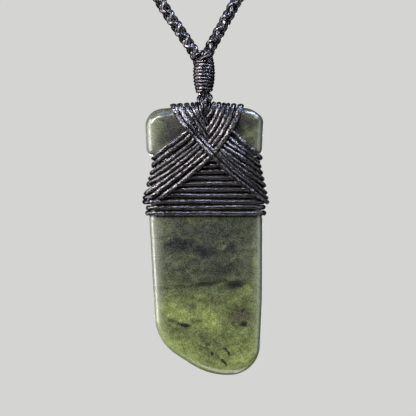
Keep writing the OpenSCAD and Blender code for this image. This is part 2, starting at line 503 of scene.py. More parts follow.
@dataclass(frozen=True)
class ThreadLay(Lay):
    """A single thread's lay, with the spacing of its rings and the length of one twist, in metres."""

    ring_spacing: float = 0.0002
    lay_length: float = 0.0036

    def values(self, finish: Finish) -> dict:
        """The laid thread tree's inputs."""
        return {**super().values(finish), "Ring spacing": self.ring_spacing, "Lay length": self.lay_length}


STRANDS = 4
FIBRE_DRIFT = 600.0
GRAIN_SCALE = 4200.0
LAY_INPUTS = {"Sides": INTEGER, "Plies": FLOAT, "Ply depth": FLOAT, "Finish": MATERIAL}


def sweep(w: Wiring, rails: Socket, given: bpy.types.NodeOutputs) -> Socket:
    """A laid thread swept along the rails, at each rail's own radius, with closed ends.

    Its outline is a circle of radius 1 with a crease between each two plies, and each point of it is kept as
    "side" for the finish to read.

    Args:
        w: The tree's wiring.
        rails: The rails, as curves.
        given: The tree's inputs.

    Returns:
        The swept mesh.
    """
    circle = w.out("GeometryNodeCurvePrimitiveCircle", {"Resolution": given["Sides"], "Radius": 1.0})
    around = w.out("GeometryNodeSplineParameter", output="Factor")
    lobes = w.math("ABSOLUTE", w.math("COSINE", w.times(around, math.pi, given["Plies"])))
    kept = w.minus(1.0, w.times(given["Ply depth"], w.minus(1.0, lobes)))
    position = w.out("GeometryNodeInputPosition")
    creased = w.out("GeometryNodeSetPosition", {"Geometry": circle, "Position": w.scale(position, kept)})
    profile = w.mark(creased, "side", position, "FLOAT_VECTOR")
    radius = w.out("GeometryNodeInputRadius")
    inputs = {"Curve": rails, "Profile Curve": profile, "Scale": radius, "Fill Caps": True}
    return w.out("GeometryNodeCurveToMesh", inputs)


def dress(w: Wiring, mesh: Socket, finish: Socket, made: bpy.types.NodeInputs) -> None:
    """Ends a tree: shades the mesh smooth, realizes it and gives it its material.

    Args:
        w: The tree's wiring.
        mesh: The mesh.
        finish: The material input.
        made: The sockets that the tree fills.
    """
    shaded = w.out("GeometryNodeSetShadeSmooth", {"Geometry": mesh})
    real = w.out("GeometryNodeRealizeInstances", {"Geometry": shaded})
    w.link(w.out("GeometryNodeSetMaterial", {"Geometry": real, "Material": finish}), made[0])


def laid_thread_tree() -> Tree:
    """The tree that sweeps a twisted thread along every path it is given, pressed flat where the path says.

    Returns:
        The tree.
    """
    inputs = {"Paths": GEOMETRY, "Ring spacing": FLOAT, "Lay length": FLOAT, **LAY_INPUTS}
    tree, w, given, made = new_tree("laid_thread", "GeometryNodeTree", inputs, {"Geometry": GEOMETRY})
    rails = w.out("GeometryNodeMeshToCurve", {0: given["Paths"]})
    spacing = {"Curve": rails, "Length": given["Ring spacing"]}
    rings = w.out("GeometryNodeResampleCurve", spacing, mode="LENGTH")
    sized = w.out("GeometryNodeSetCurveRadius", {0: rings, "Radius": w.named("thread_radius")})
    run = w.out("GeometryNodeSplineLength", output="Length")
    whole_turns = w.math("ROUND", w.math("DIVIDE", run, given["Lay length"]))
    share = w.out("GeometryNodeSplineParameter", output="Factor")
    tilt = w.times(share, whole_turns, 2 * math.pi)
    twisted = w.out("GeometryNodeSetCurveTilt", {0: sized, "Tilt": tilt})
    position = w.out("GeometryNodeInputPosition")
    rail = w.mark(twisted, "rail", position, "FLOAT_VECTOR")
    rail = w.mark(rail, "along", w.out("GeometryNodeSplineParameter", output="Length"))
    swept = sweep(w, rail, given)
    way = w.named("press_way", "FLOAT_VECTOR")
    out = w.vector("SUBTRACT", position, w.named("rail", "FLOAT_VECTOR"))
    height = w.vector("DOT_PRODUCT", out, way, "Value")
    back = w.times(height, w.minus(w.named("press"), 1.0))
    pressed = w.out("GeometryNodeSetPosition", {"Geometry": swept, "Offset": w.scale(way, back)})
    dress(w, pressed, given["Finish"], made)
    return tree


def four_strand_braid_tree() -> Tree:
    """The tree that winds four strands round a route, two each way, each over one and under one.

    Returns:
        The tree.
    """
    sizes = ("Turn length", "Strand circle", "Strand radius", "Weave depth", "Start angle")
    inputs = {"Route": GEOMETRY, **{label: FLOAT for label in sizes}, **LAY_INPUTS}
    outputs = {"Geometry": GEOMETRY}
    tree, w, given, made = new_tree("four_strand_braid", "GeometryNodeTree", inputs, outputs)
    rails = w.out("GeometryNodeMeshToCurve", {0: given["Route"]})
    four = w.add("GeometryNodeDuplicateElements", {"Geometry": rails, "Amount": STRANDS}, domain="SPLINE")
    stored = w.mark(four.outputs["Geometry"], "strand", four.outputs["Duplicate Index"])
    number = w.named("strand")
    way = w.minus(1.0, w.times(2.0, w.math("FLOOR", w.math("DIVIDE", number, 2.0))))
    phase = w.times(math.pi, w.math("MODULO", number, 2.0))
    along = w.out("GeometryNodeSplineParameter", output="Length")
    turned = w.times(w.math("DIVIDE", along, given["Turn length"]), 2 * math.pi)
    angle = w.plus(w.times(turned, way), phase)
    over = w.times(way, w.math("COSINE", w.times(2.0, angle)))
    out = w.plus(given["Strand circle"], w.times(over, given["Weave depth"]))
    seen = w.plus(angle, given["Start angle"])
    normal = w.out("GeometryNodeInputNormal")
    across = w.vector("CROSS_PRODUCT", w.out("GeometryNodeInputTangent"), normal)
    first = w.scale(normal, w.times(out, w.math("COSINE", seen)))
    second = w.scale(across, w.times(out, w.math("SINE", seen)))
    offset = w.vector("ADD", first, second)
    wound = w.out("GeometryNodeSetPosition", {"Geometry": stored, "Offset": offset})
    marked = w.mark(wound, "along", along)
    sized = w.out("GeometryNodeSetCurveRadius", {0: marked, "Radius": given["Strand radius"]})
    dress(w, sweep(w, sized, given), given["Finish"], made)
    return tree


def fibre_noises(w: Wiring, length: Feed, around: Feed) -> tuple[Socket, Socket]:
    """Fibres that run along a thread, and a fine grain.

    They read the "side" and "along" attributes that the thread trees store, and Object coordinates.

    Args:
        w: The wiring of a finish, or of the group that the finishes share.
        length: A fibre's length, in metres.
        around: How closely the fibres lie round the thread.

    Returns:
        The fibres' noise and the grain's.
    """
    place = w.out("ShaderNodeTexCoord", output="Object")
    run = w.out("ShaderNodeCombineXYZ", {2: w.math("DIVIDE", w.attribute("along", "Fac"), length)})
    round_it = w.scale(w.attribute("side", "Vector"), around)
    laid = w.vector("ADD", w.vector("ADD", run, round_it), w.scale(place, FIBRE_DRIFT))
    fibres = w.noise(laid, scale=1.0, detail=3.0, roughness=0.65)
    return fibres, w.noise(place, GRAIN_SCALE, detail=2.0)


def fibre_group() -> Tree:
    """Shader group: the height of a thread's fibres, its wax patches and its worn places.

    Returns:
        The group.
    """
    inputs = {"Fibre length": FLOAT, "Fibres round": FLOAT, "Patch size": FLOAT}
    outputs = {"Height": FLOAT, "Wax": FLOAT, "Worn": FLOAT}
    tree, w, given, made = new_tree("waxed_fibre", "ShaderNodeTree", inputs, outputs)
    fibres, grain = fibre_noises(w, given["Fibre length"], given["Fibres round"])
    place = w.out("ShaderNodeTexCoord", output="Object")
    patch = w.noise(place, w.math("DIVIDE", 1.0, given["Patch size"]), detail=3.0)
    w.link(w.weigh(fibres, grain, share=0.6), made["Height"])
    w.link(w.step(patch, (0.35, 0.65)), made["Wax"])
    w.link(w.step(w.weigh(fibres, patch, share=0.7), (0.46, 0.66)), made["Worn"])
    return tree


@dataclass(frozen=True)
class WaxedFibre:
    """Near-black waxed thread: dark fibres along the thread under a thin, patchy coat of wax.

    Its fibres catch the light one by one, from dull to shine.
    """

    name: str
    fibres: Tree
    dark: Colour = linear(2, 2, 2)
    worn: Colour = linear(19, 17, 20)
    sheen: Colour = (0.97, 0.92, 1.0, 1.0)
    wax_weight: float = 0.18
    wax_roughness: float = 0.25
    bare_roughness: float = 0.36
    waxed_roughness: float = 0.25
    dull: float = 0.05
    shine: float = 1.5
    bump: float = 0.6
    bump_height: float = 0.0002
    fibre_length: float = 0.0018
    fibres_round: float = 3.5
    patch_size: float = 0.0016

    def glints(self, w: Wiring) -> Socket:
        """The specular level of the fibres, which stays out of the group because it isn't a mask.

        Args:
            w: The finish's wiring.

        Returns:
            The level.
        """
        fibres, grain = fibre_noises(w, self.fibre_length, self.fibres_round)
        lit = w.step(w.weigh(fibres, grain, share=0.4), (0.42, 0.58))
        return w.step(lit, (0.0, 1.0), (self.dull, self.shine))

    def build(self) -> Finish:
        """Builds the finish.

        Returns:
            The material.
        """
        material, w = new_material(self.name)
        sizes = {
            "Fibre length": self.fibre_length,
            "Fibres round": self.fibres_round,
            "Patch size": self.patch_size,
        }
        fibre = w.add("ShaderNodeGroup", sizes, node_tree=self.fibres).outputs
        bump = {"Height": fibre["Height"], "Strength": self.bump, "Distance": self.bump_height}
        w.surface(
            "ShaderNodeBsdfPrincipled",
            {
                "Base Color": w.mix(fibre["Worn"], self.dark, self.worn),
                "Roughness": w.step(fibre["Wax"], (0.0, 1.0), (self.bare_roughness, self.waxed_roughness)),
                "Normal": w.out("ShaderNodeBump", bump),
                "Specular IOR Level": self.glints(w),
                "Specular Tint": self.sheen,
                "Coat Weight": w.times(fibre["Wax"], self.wax_weight),
                "Coat Roughness": self.wax_roughness,
            },
        )
        return material


def cloud_group() -> Tree:
    """Shader group: one soft-edged cloud or speck in the stone, or a painted shadow, as a mask, charted in
    millimetres.

    Returns:
        The group.
    """
    sizes = ("Half length", "Half width", "Angle", "Edge", "Strength")
    inputs = {"Place": VECTOR, "Centre": VECTOR, **{label: FLOAT for label in sizes}}
    tree, w, given, made = new_tree("stone_cloud", "ShaderNodeTree", inputs, {"Mask": FLOAT})
    shifted = w.vector("SUBTRACT", given["Place"], given["Centre"])
    turned = w.turn(shifted, w.times(given["Angle"], -math.pi / 180))
    parts = w.add("ShaderNodeSeparateXYZ", {0: turned}).outputs
    reach_x = w.math("DIVIDE", parts["X"], given["Half length"])
    reach_y = w.math("DIVIDE", parts["Y"], given["Half width"])
    reach = w.math("SQRT", w.plus(w.math("POWER", reach_x, 2.0), w.math("POWER", reach_y, 2.0)))
    border = (w.minus(1.0, given["Edge"]), w.plus(1.0, given["Edge"]))
    inside = w.minus(1.0, w.step(reach, border))
    w.link(w.times(inside, given["Strength"]), made["Mask"])
    return tree


@dataclass(frozen=True)
class Cloud:
    """One charted cloud, speck or painted shadow: middle, half length, half width in millimetres, and its
    turn in degrees.

    edge is the share of its size over which it fades, and strength how much of its colour it takes.
    """

    x: float
    z: float
    half_length: float
    half_width: float
    angle: float
    edge: float
    strength: float


def clouds(*rows: tuple[float, ...]) -> tuple[Cloud, ...]:
    """One chart of clouds, from rows in the order of Cloud's fields."""
    return tuple(Cloud(*row) for row in rows)


NAVY_CLOUDS_AND_THREAD_SHADOWS = clouds(
    (-4.5, 24.4, 2.6, 1.3, -5, 0.6, 0.95), (-5.4, 24.9, 1.3, 0.7, 0, 0.6, 0.9),
    (-0.4, 23.1, 2.3, 1.0, -10, 0.6, 0.9), (3.6, 23.0, 2.4, 0.45, -3, 0.8, 0.45),
    (2.9, 19.3, 3.8, 1.2, 24, 0.8, 0.65), (0.5, 17.2, 3.6, 0.55, 14, 0.7, 0.8),
    (5.6, 16.9, 1.6, 0.75, 10, 0.6, 0.95), (-4.2, 16.4, 1.5, 0.35, 0, 0.7, 0.65),
    # Painted shadow: (-4.8, 45.4), (7.0, 47.0) and (5.9, 45.6) darken the head where the threads shade it.
    (-8.8, 16.1, 0.9, 0.45, 0, 0.7, 0.65), (-4.8, 45.4, 2.1, 2.0, 0, 0.8, 0.75),
    (-8.0, 47.0, 0.5, 0.4, 0, 0.6, 0.5), (7.0, 47.0, 1.4, 0.8, 0, 0.8, 0.7),
    (5.9, 45.6, 0.9, 2.0, 15, 0.8, 0.6),
)
SLATE_CLOUDS_AND_THREAD_SHADOWS = clouds(
    (1.2, 26.4, 3.4, 1.7, 0, 0.8, 0.6), (5.8, 24.2, 2.0, 1.2, 0, 0.8, 0.4),
    # Painted shadow: (-3.4, 45.8) is where the threads shade the head, and (-3.0, 28.3) the shade just under
    # the waist turns.
    (3.1, 7.4, 1.7, 1.6, 0, 0.8, 0.35), (-3.4, 45.8, 1.6, 1.4, 0, 0.8, 0.4),
    (-3.0, 28.3, 3.0, 1.1, 0, 0.8, 0.5),
)
OLIVE_CLOUDS = clouds(
    (-1.8, 28.5, 1.7, 0.8, 0, 0.7, 0.8), (-5.1, 8.3, 2.6, 0.9, -5, 0.8, 0.55),
    (-0.1, 6.9, 3.2, 0.8, -32, 0.8, 0.6), (7.7, 6.5, 2.0, 0.3, -5, 0.7, 0.55),
    (0.8, 4.3, 1.5, 1.0, 0, 0.8, 0.4), (-3.0, 14.4, 2.0, 0.7, -8, 0.8, 0.5),
    (1.3, 14.3, 1.0, 0.5, 0, 0.7, 0.6), (-3.0, 13.2, 1.8, 0.9, 0, 0.8, 0.5),
    (0.8, 15.3, 1.7, 0.8, 0, 0.8, 0.5),
)
BROWN_CLOUDS = clouds(
    (6.8, 25.9, 1.1, 0.6, 0, 0.8, 0.65), (6.4, 11.2, 2.6, 1.9, 0, 0.8, 0.85),
    (-4.7, 20.2, 3.6, 1.6, 0, 0.8, 0.3), (2.4, 13.5, 2.8, 1.1, 0, 0.8, 0.4),
)
GREEN_CLOUDS = clouds(
    (-7.2, 27.2, 1.8, 1.3, 0, 0.8, 0.35), (7.4, 22.0, 1.2, 5.5, 0, 0.8, 0.22),
    (9.4, 19.5, 0.9, 3.6, 0, 0.8, 0.7), (-5.9, 20.9, 2.0, 0.8, 10, 0.8, 0.3),
    (-8.8, 46.0, 1.0, 2.4, 0, 0.8, 0.35), (8.2, 44.3, 1.2, 1.2, 0, 0.8, 0.4),
    (-0.4, 15.2, 1.6, 0.5, 0, 0.8, 0.4),
)
BRIGHT_CLOUDS = clouds(
    (-4.9, 11.8, 3.0, 1.1, -8, 0.8, 0.75), (0.7, 10.4, 2.2, 1.0, -52, 0.8, 0.85),
    (-0.6, 14.7, 1.0, 0.45, 0, 0.8, 0.5), (6.9, 3.1, 2.6, 1.5, 20, 0.8, 0.95),
    (7.2, 15.8, 1.2, 1.3, 0, 0.8, 0.35), (-4.9, 5.4, 2.6, 0.9, -33, 0.8, 0.4),
)
SPECKS = clouds(
    (-3.9, 9.45, 1.4, 0.33, -12, 0.5, 0.9), (-3.5, 9.35, 0.6, 0.38, 0, 0.5, 0.95),
    (7.05, 9.6, 0.65, 0.5, 0, 0.5, 0.95), (6.8, 12.2, 0.5, 0.3, 20, 0.6, 0.7),
    (0.35, 5.85, 0.4, 0.27, 0, 0.5, 0.75), (1.2, 4.15, 0.32, 0.3, 0, 0.5, 0.9),
    (3.7, 4.95, 0.45, 0.2, -30, 0.5, 0.85), (4.2, 4.35, 0.6, 0.23, -55, 0.5, 0.9),
    (2.3, 3.75, 0.45, 0.13, -55, 0.5, 0.75), (3.2, 2.8, 0.4, 0.27, -40, 0.5, 0.9),
    (3.65, 2.35, 0.5, 0.23, -55, 0.5, 0.95), (0.1, 8.85, 0.3, 0.2, 0, 0.5, 0.6),
    (0.6, 15.0, 0.28, 0.22, 0, 0.5, 0.6), (4.9, 22.9, 0.25, 0.25, 0, 0.5, 0.6),
    (8.4, 2.6, 0.7, 0.12, -35, 0.5, 0.5),
)


@dataclass(frozen=True)
class Nephrite:
    """Polished greenstone: streaked, clouded in several greens, with dark specks, painted thread shadows and
    a painted glow along its thin rim.

    Heights and reaches are in millimetres over the stone's low point. A warp is a noise's scale and how far
    it pushes a pattern about. The rim's painted glow is wider and paler towards the left, where most light
    falls, and fainter towards the brow.
    """

    name: str
    cloud: Tree
    head: Colour = linear(25, 28, 20)
    middle: Colour = linear(40, 45, 34)
    foot: Colour = linear(83, 92, 53)
    light: Colour = linear(76, 82, 58)
    shade: Colour = linear(22, 24, 20)
    bright: Colour = linear(99, 110, 61)
    green: Colour = linear(78, 86, 58)
    slate: Colour = linear(24, 28, 26)
    olive: Colour = linear(52, 54, 34)
    navy: Colour = linear(6, 7, 10)
    brown: Colour = linear(42, 39, 30)
    speck: Colour = linear(8, 9, 11)
    # Painted light: the pale colours that the thin rim is mixed to, standing in for light glowing through the
    # edge.
    rim: Colour = linear(128, 131, 116)
    foot_rim: Colour = linear(140, 152, 98)
    foot_to_middle: Span = (9.5, 20.5)
    middle_to_head: Span = (36.0, 42.0)
    wide_warp: Span = (0.3, 1.8)
    cloud_warp: Span = (1.1, 0.9)
    speck_warp: Span = (1.6, 0.4)
    rising_degrees: float = 22.0
    falling_degrees: float = -34.0
    streak_stretch: Triple = (0.2, 0.85, 0.5)
    light_streaks: Span = (0.48, 0.3)
    light_share: float = 0.5
    shade_streaks: Span = (0.52, 0.7)
    shade_share: float = 0.75
    mottle_contrast: float = 0.38
    fleck_contrast: float = 0.42
    # Painted light: how much of the rim glow is laid on, less at the brow and more on the lit left side.
    rim_share: float = 0.34
    brow_rim_share: float = 0.1
    brow: Span = (44.0, 48.5)
    foot_rim_to_rim: Span = (4.0, 12.0)
    rim_reach: float = 2.4
    left_rim_reach: float = 3.4
    left_side: Span = (-9.0, -6.5)
    left_rim_light_gain: float = 0.35
    left_rim: Span = (-9.5, -6.5)
    shine: Span = (0.05, 0.95)
    polish: Span = (0.05, 0.8)
    roughness: Span = (0.27, 0.38)
    ior: float = 1.61
    polish_roughness: float = 0.11
    ripple: float = 0.06
    ripple_height: float = 0.0003
    glow: float = 0.12
    glow_radius: Triple = (0.7, 1.0, 0.4)
    glow_scale: float = 0.001

    def masks(self, w: Wiring, place: Socket, chart: tuple[Cloud, ...]) -> Socket:
        """All clouds of one chart as one mask.

        Args:
            w: The finish's wiring.
            place: The place on the stone's front, in millimetres.
            chart: The clouds.

        Returns:
            The mask, 1 where a cloud is full.
        """
        total = None
        for cloud in chart:
            inputs = {
                "Place": place,
                "Centre": (cloud.x, cloud.z, 0.0),
                "Half length": cloud.half_length,
                "Half width": cloud.half_width,
                "Angle": cloud.angle,
                "Edge": cloud.edge,
                "Strength": cloud.strength,
            }
            mask = w.out("ShaderNodeGroup", inputs, node_tree=self.cloud)
            total = mask if total is None else w.math("MAXIMUM", total, mask)
        return total

    @staticmethod
    def warp(w: Wiring, place: Socket, scale: float, reach: float) -> Socket:
        """A place pushed about by a noise, so that what is drawn there gets an uneven border.

        Args:
            w: The finish's wiring.
            place: The place.
            scale: The noise's scale.
            reach: How far it pushes.

        Returns:
            The new place.
        """
        noise = w.noise(place, scale, detail=3.0, roughness=0.6, output=1)
        offset = w.vector("SUBTRACT", noise, (0.5, 0.5, 0.5))
        return w.vector("ADD", place, w.scale(offset, reach))

    def streaks(self, w: Wiring, place: Socket, degrees: float) -> Socket:
        """A noise drawn out along one direction of the stone's front."""
        drawn = w.vector("MULTIPLY", w.turn(place, -math.radians(degrees)), self.streak_stretch)
        return w.noise(drawn, scale=1.0, detail=6.0, roughness=0.68)

    def ground(self, w: Wiring, z: Socket, wide: Socket, cloudy: Socket) -> Socket:
        """The stone's colour under its clouds: three zones with streaks that rise above and fall below.

        Args:
            w: The finish's wiring.
            z: The height.
            wide: The place, pushed about widely.
            cloudy: The place that the clouds are drawn at.

        Returns:
            The colour.
        """
        upper = w.step(w.add("ShaderNodeSeparateXYZ", {0: cloudy}).outputs["Y"], self.foot_to_middle)
        body = w.mix(upper, self.foot, self.middle)
        body = w.mix(w.step(z, self.middle_to_head), body, self.head)
        rising = self.streaks(w, wide, self.rising_degrees)
        falling = self.streaks(w, wide, self.falling_degrees)
        run = w.out("ShaderNodeMix", {0: upper, 2: falling, 3: rising}, data_type="FLOAT")
        body = w.mix(w.step(run, self.light_streaks, (0.0, self.light_share)), body, self.light)
        return w.mix(w.step(run, self.shade_streaks, (0.0, self.shade_share)), body, self.shade)

    def painted_rim_glow(self, w: Wiring, x: Socket, z: Socket, body: Socket) -> Socket:
        """The stone's colour with painted light: paler where light would glow through its thin rim.

        Args:
            w: The finish's wiring.
            x: The distance from the middle line.
            z: The height.
            body: The colour without the painted rim glow.

        Returns:
            The colour.
        """
        # Painted light: the rim is mixed to a pale glow colour, widest and strongest on the left, where the
        # lamps stand.
        reach = w.step(x, self.left_side, (self.left_rim_reach, self.rim_reach))
        thin = w.step(w.attribute("inset", "Fac"), (0.0, reach), (1.0, 0.0))
        share = w.times(thin, w.step(z, self.brow, (self.rim_share, self.brow_rim_share)))
        share = w.times(share, w.step(x, self.left_rim, (1 + self.left_rim_light_gain, 1.0)))
        return w.mix(share, body, w.mix(w.step(z, self.foot_rim_to_rim), self.foot_rim, self.rim))

    def pattern(self, w: Wiring) -> tuple[Socket, Socket, Socket]:
        """The stone's colour with its painted thread shadows and rim glow, its mottle and its finer flecks.

        Args:
            w: The finish's wiring.

        Returns:
            The colour, and the two noises.
        """
        place = w.out("ShaderNodeTexCoord", output="Object")
        local = w.scale(w.vector("SUBTRACT", place, tuple(LOW_POINT_MM * MM)), 1 / MM)
        parts = w.add("ShaderNodeSeparateXYZ", {0: local}).outputs
        chart = w.out("ShaderNodeCombineXYZ", {0: parts["X"], 1: parts["Z"], 2: parts["Y"]})
        wide = self.warp(w, chart, *self.wide_warp)
        cloudy = self.warp(w, wide, *self.cloud_warp)
        near = self.warp(w, chart, *self.speck_warp)
        body = self.ground(w, parts["Z"], wide, cloudy)
        for charted, colour in (
            (GREEN_CLOUDS, self.green),
            (BRIGHT_CLOUDS, self.bright),
            (SLATE_CLOUDS_AND_THREAD_SHADOWS, self.slate),
            (OLIVE_CLOUDS, self.olive),
            (BROWN_CLOUDS, self.brown),
            (NAVY_CLOUDS_AND_THREAD_SHADOWS, self.navy),
        ):
            body = w.mix(self.masks(w, cloudy, charted), body, colour)
        mottle = w.noise(near, scale=0.9, detail=6.0, roughness=0.7)
        fleck = w.noise(chart, scale=3.8, detail=4.0, roughness=0.7)
        for grain, contrast in ((mottle, self.mottle_contrast), (fleck, self.fleck_contrast)):
            body = w.mix(1.0, body, w.step(grain, NOISE_SPAN, (1 - contrast, 1 + contrast)), "MULTIPLY")
        body = w.mix(self.masks(w, near, SPECKS), body, self.speck)
        return self.painted_rim_glow(w, parts["X"], parts["Z"], body), mottle, fleck

    def build(self) -> Finish:
        """Builds the finish.

        Returns:
            The material.
        """
        material, w = new_material(self.name)
        colour, mottle, fleck = self.pattern(w)
        bump = {"Height": mottle, "Strength": self.ripple, "Distance": self.ripple_height}
        ripple = w.out("ShaderNodeBump", bump)
        w.surface(
            "ShaderNodeBsdfPrincipled",
            {
                "Base Color": colour,
                "Specular IOR Level": w.step(fleck, NOISE_SPAN, self.shine),
                "Coat Weight": w.step(fleck, NOISE_SPAN, self.polish),
                "Roughness": w.step(mottle, NOISE_SPAN, self.roughness),
                "Normal": ripple,
                "Coat Normal": ripple,
                "IOR": self.ior,
                "Coat Roughness": self.polish_roughness,
                "Subsurface Weight": self.glow,
                "Subsurface Radius": self.glow_radius,
                "Subsurface Scale": self.glow_scale,
            },
        )
        return material


@dataclass
class Blade:
    """The adze-shaped stone: a flat blade with a head, a waist and a slanted, rounded cutting edge.

    Sizes are in millimetres. flat_bevel and side_bevel say how far the edge's quarter circle turns into a
    flat bevel, at the left end of the crest and at the head's left side. A bevel sets in over a span of
    distances to the left, of heights, or of how much the edge faces up or left.
    """

    height: float = 49.9
    head_w: float = 21.6
    waist_w: float = 17.7
    body_w: float = 20.8
    thickness: float = 6.4
    edge_thickness: float = 2.8
    edge_r: float = 1.3
    edge_rings: int = 13
    slant: float = 6.3
    crest_r: float = 60.0
    crest_rise: float = 1.0
    lean: float = 0.05
    head_lean: float = 0.4
    waist_top: float = 40.3
    body_top: float = 29.0
    thinning: float = 20.0
    flat_bevel: float = 0.8
    side_bevel: float = 0.5
    bevel_x: Span = (5.8, 6.8)
    bevel_z: Span = (40.3, 41.3)
    bevel_up: Span = (0.45, 0.85)
    bevel_left: Span = (0.6, 0.9)
    pillow: float = 0.32
    pillow_reach: float = 1.3
    outline: np.ndarray = field(init=False)

    def __post_init__(self) -> None:
        """Rounds the outline once, for the mesh and for the threads."""
        self.outline = self.rounded(arc_degrees=5.0, longest=0.6)

    def corners(self) -> list[Triple]:
        """The outline's corners before they are rounded.

        Returns:
            Rows of x, z and corner radius, clockwise from the crest.
        """
        head, waist, body = self.head_w / 2, self.waist_w / 2, self.body_w / 2
        brow, shoulder = self.height - self.crest_rise, self.height - 9.0
        return [
            (0.0, self.height, self.crest_r),
            (head - 2.4, self.height - 0.7, 4.0),
            (head - 0.15, self.height - 2.4, 1.8),
            (head - 0.45, shoulder, 1.4),
            (waist, self.waist_top, 0.4),
            (body + self.lean, self.body_top, 6.0),
            (body - 0.02, self.body_top - 15.0, 30.0),
            (body - 0.6, 0.1, 5.5),
            (0.4, 0.0, 12.0),
            (1.35 - body, self.slant, 8.6),
            (self.lean - body, self.body_top, 6.0),
            (-waist, self.waist_top, 0.4),
            (-head, shoulder, 1.4),
            (-head - self.head_lean, brow, 3.3),
        ]

    def rounded(self, arc_degrees: float, longest: float) -> np.ndarray:
        """The outline as points, clockwise.

        Args:
            arc_degrees: The turn between two points of a rounded corner.
            longest: The longest straight step between two points.

        Returns:
            The points, as rows of x and z.
        """
        table = self.corners()
        rough: list[np.ndarray] = []
        for i, (x, z, radius) in enumerate(table):
            here = np.array([x, z])
            to_a = unit(np.array(table[i - 1][:2]) - here)
            to_c = unit(np.array(table[(i + 1) % len(table)][:2]) - here)
            half = math.acos(float(np.clip(to_a @ to_c, -1, 1))) / 2
            middle = here + unit(to_a + to_c) * radius / math.sin(half)
            start = here + to_a * radius / math.tan(half) - middle
            sweep_angle = math.pi - 2 * half
            turn = np.sign(to_a[0] * to_c[1] - to_a[1] * to_c[0])
            count = max(3, math.ceil(math.degrees(sweep_angle) / arc_degrees))
            for k in range(count + 1):
                angle = -turn * sweep_angle * k / count
                c, s = math.cos(angle), math.sin(angle)
                rough.append(middle + np.array([start[0] * c - start[1] * s, start[0] * s + start[1] * c]))
        points: list[np.ndarray] = []
        for a, b in zip(rough, rough[1:] + rough[:1]):
            count = max(1, math.ceil(float(np.linalg.norm(b - a)) / longest))
            points += [a + (b - a) * k / count for k in range(count)]
        return np.array(points)

    def half_t(self, z: Values) -> np.ndarray:
        """Half of the stone's thickness at height z."""
        share = 1 - (1 - np.clip(np.asarray(z) / self.thinning, 0, 1)) ** 2
        return (self.edge_thickness + (self.thickness - self.edge_thickness) * share) / 2

    def crest_z(self, x: float) -> float:
        """Height of the rounded crest at x."""
        cut_off = self.crest_r / math.cos(math.atan(2 * self.crest_rise / self.head_w)) - self.crest_r
        return self.height - cut_off - x * x / (2 * self.crest_r)

    def waist_x(self, side: int, z: float) -> float:
        """Distance of the waist's edge from the middle line, on one side, at height z."""
        ends = [self.body_w / 2 + side * self.lean, self.waist_w / 2]
        return float(np.interp(z, [self.body_top, self.waist_top], ends))

    def inside(self, points: np.ndarray) -> np.ndarray:
        """How far points lie in from the outline.

        Args:
            points: The points, as rows of x and z.

        Returns:
            A distance for each point, below 0 where it lies outside.
        """
        a = self.outline
        ab = np.roll(a, -1, axis=0) - a
        ap = points[:, None, :] - a[None]
        share = np.clip((ap * ab).sum(-1) / (ab * ab).sum(-1), 0, 1)
        distance = np.linalg.norm(ap - share[..., None] * ab, axis=-1).min(1)
        z, za, zb = points[:, None, 1], a[None, :, 1], np.roll(a, -1, axis=0)[None, :, 1]
        spans = (za > z) != (zb > z)
        rise = np.where(spans, ab[None, :, 1], 1.0)
        cross_x = a[None, :, 0] + (z - za) / rise * ab[None, :, 0]
        within = (spans & (points[:, None, 0] < cross_x)).sum(1) % 2 == 1
        return np.where(within, distance, -distance)

    def depth(self, points: np.ndarray, lift: np.ndarray) -> np.ndarray:
        """Distance of a thread's middle from the stone's middle plane, where it lies over the rounded edge.

        Args:
            points: The thread's front view, as rows of x and z.
            lift: Its middle's height over the stone.

        Returns:
            The distance at each point.
        """
        r = self.edge_r
        over = np.maximum(0.0, r - self.inside(points))
        return self.thickness / 2 - r + np.sqrt(np.maximum(0.0, (r + lift) ** 2 - over**2))

    def sag(self, inset: Values) -> np.ndarray:
        """How much lower a face lies near its border, from hand polishing."""
        return self.pillow * np.exp(-np.maximum(0.0, np.asarray(inset)) / self.pillow_reach)

    def face_fill(self, loop: np.ndarray, pitch: float = 0.4) -> tuple[np.ndarray, list[Face]]:
        """Fills the flat part of a face with even triangles.

        Args:
            loop: The face's outline, as x and z points.
            pitch: The spacing of the points inside it.

        Returns:
            All points, the loop's own first, and the triangles between them.
        """
        row_share, inside_only, tolerance = 0.87, 1, 1e-7
        xs = np.arange(-self.head_w / 2 - self.head_lean, self.head_w / 2, pitch)
        zs = np.arange(0, self.height, pitch * row_share)
        grid = np.array([(x + (pitch / 2 if row % 2 else 0), z) for row, z in enumerate(zs) for x in xs])
        grid = grid[self.inside(grid) > self.edge_r + pitch / 2]
        points = np.concatenate([loop, grid])
        border = [(i, (i + 1) % len(loop)) for i in range(len(loop))]
        face = [list(range(len(loop)))]
        made = delaunay_2d_cdt([Vector(p) for p in points], border, face, inside_only, tolerance)
        came_from = [min(origins) for origins in made[3]]
        return points, [tuple(came_from[v] for v in triangle) for triangle in made[2]]

    def roundness(self, inward: np.ndarray) -> np.ndarray:
        """Roundness of the edge at each outline point.

        Args:
            inward: The inward direction at each point.

        Returns:
            2 where the edge is a quarter circle, down to 1 for a flat bevel.
        """
        length = np.linalg.norm(inward, axis=1)
        upward, leftward = -inward[:, 1] / length, inward[:, 0] / length
        crest_end = eased(upward, self.bevel_up) * eased(-self.outline[:, 0], self.bevel_x)
        head_side = eased(leftward, self.bevel_left) * eased(self.outline[:, 1], self.bevel_z)
        return 2 - self.flat_bevel * crest_end - self.side_bevel * head_side

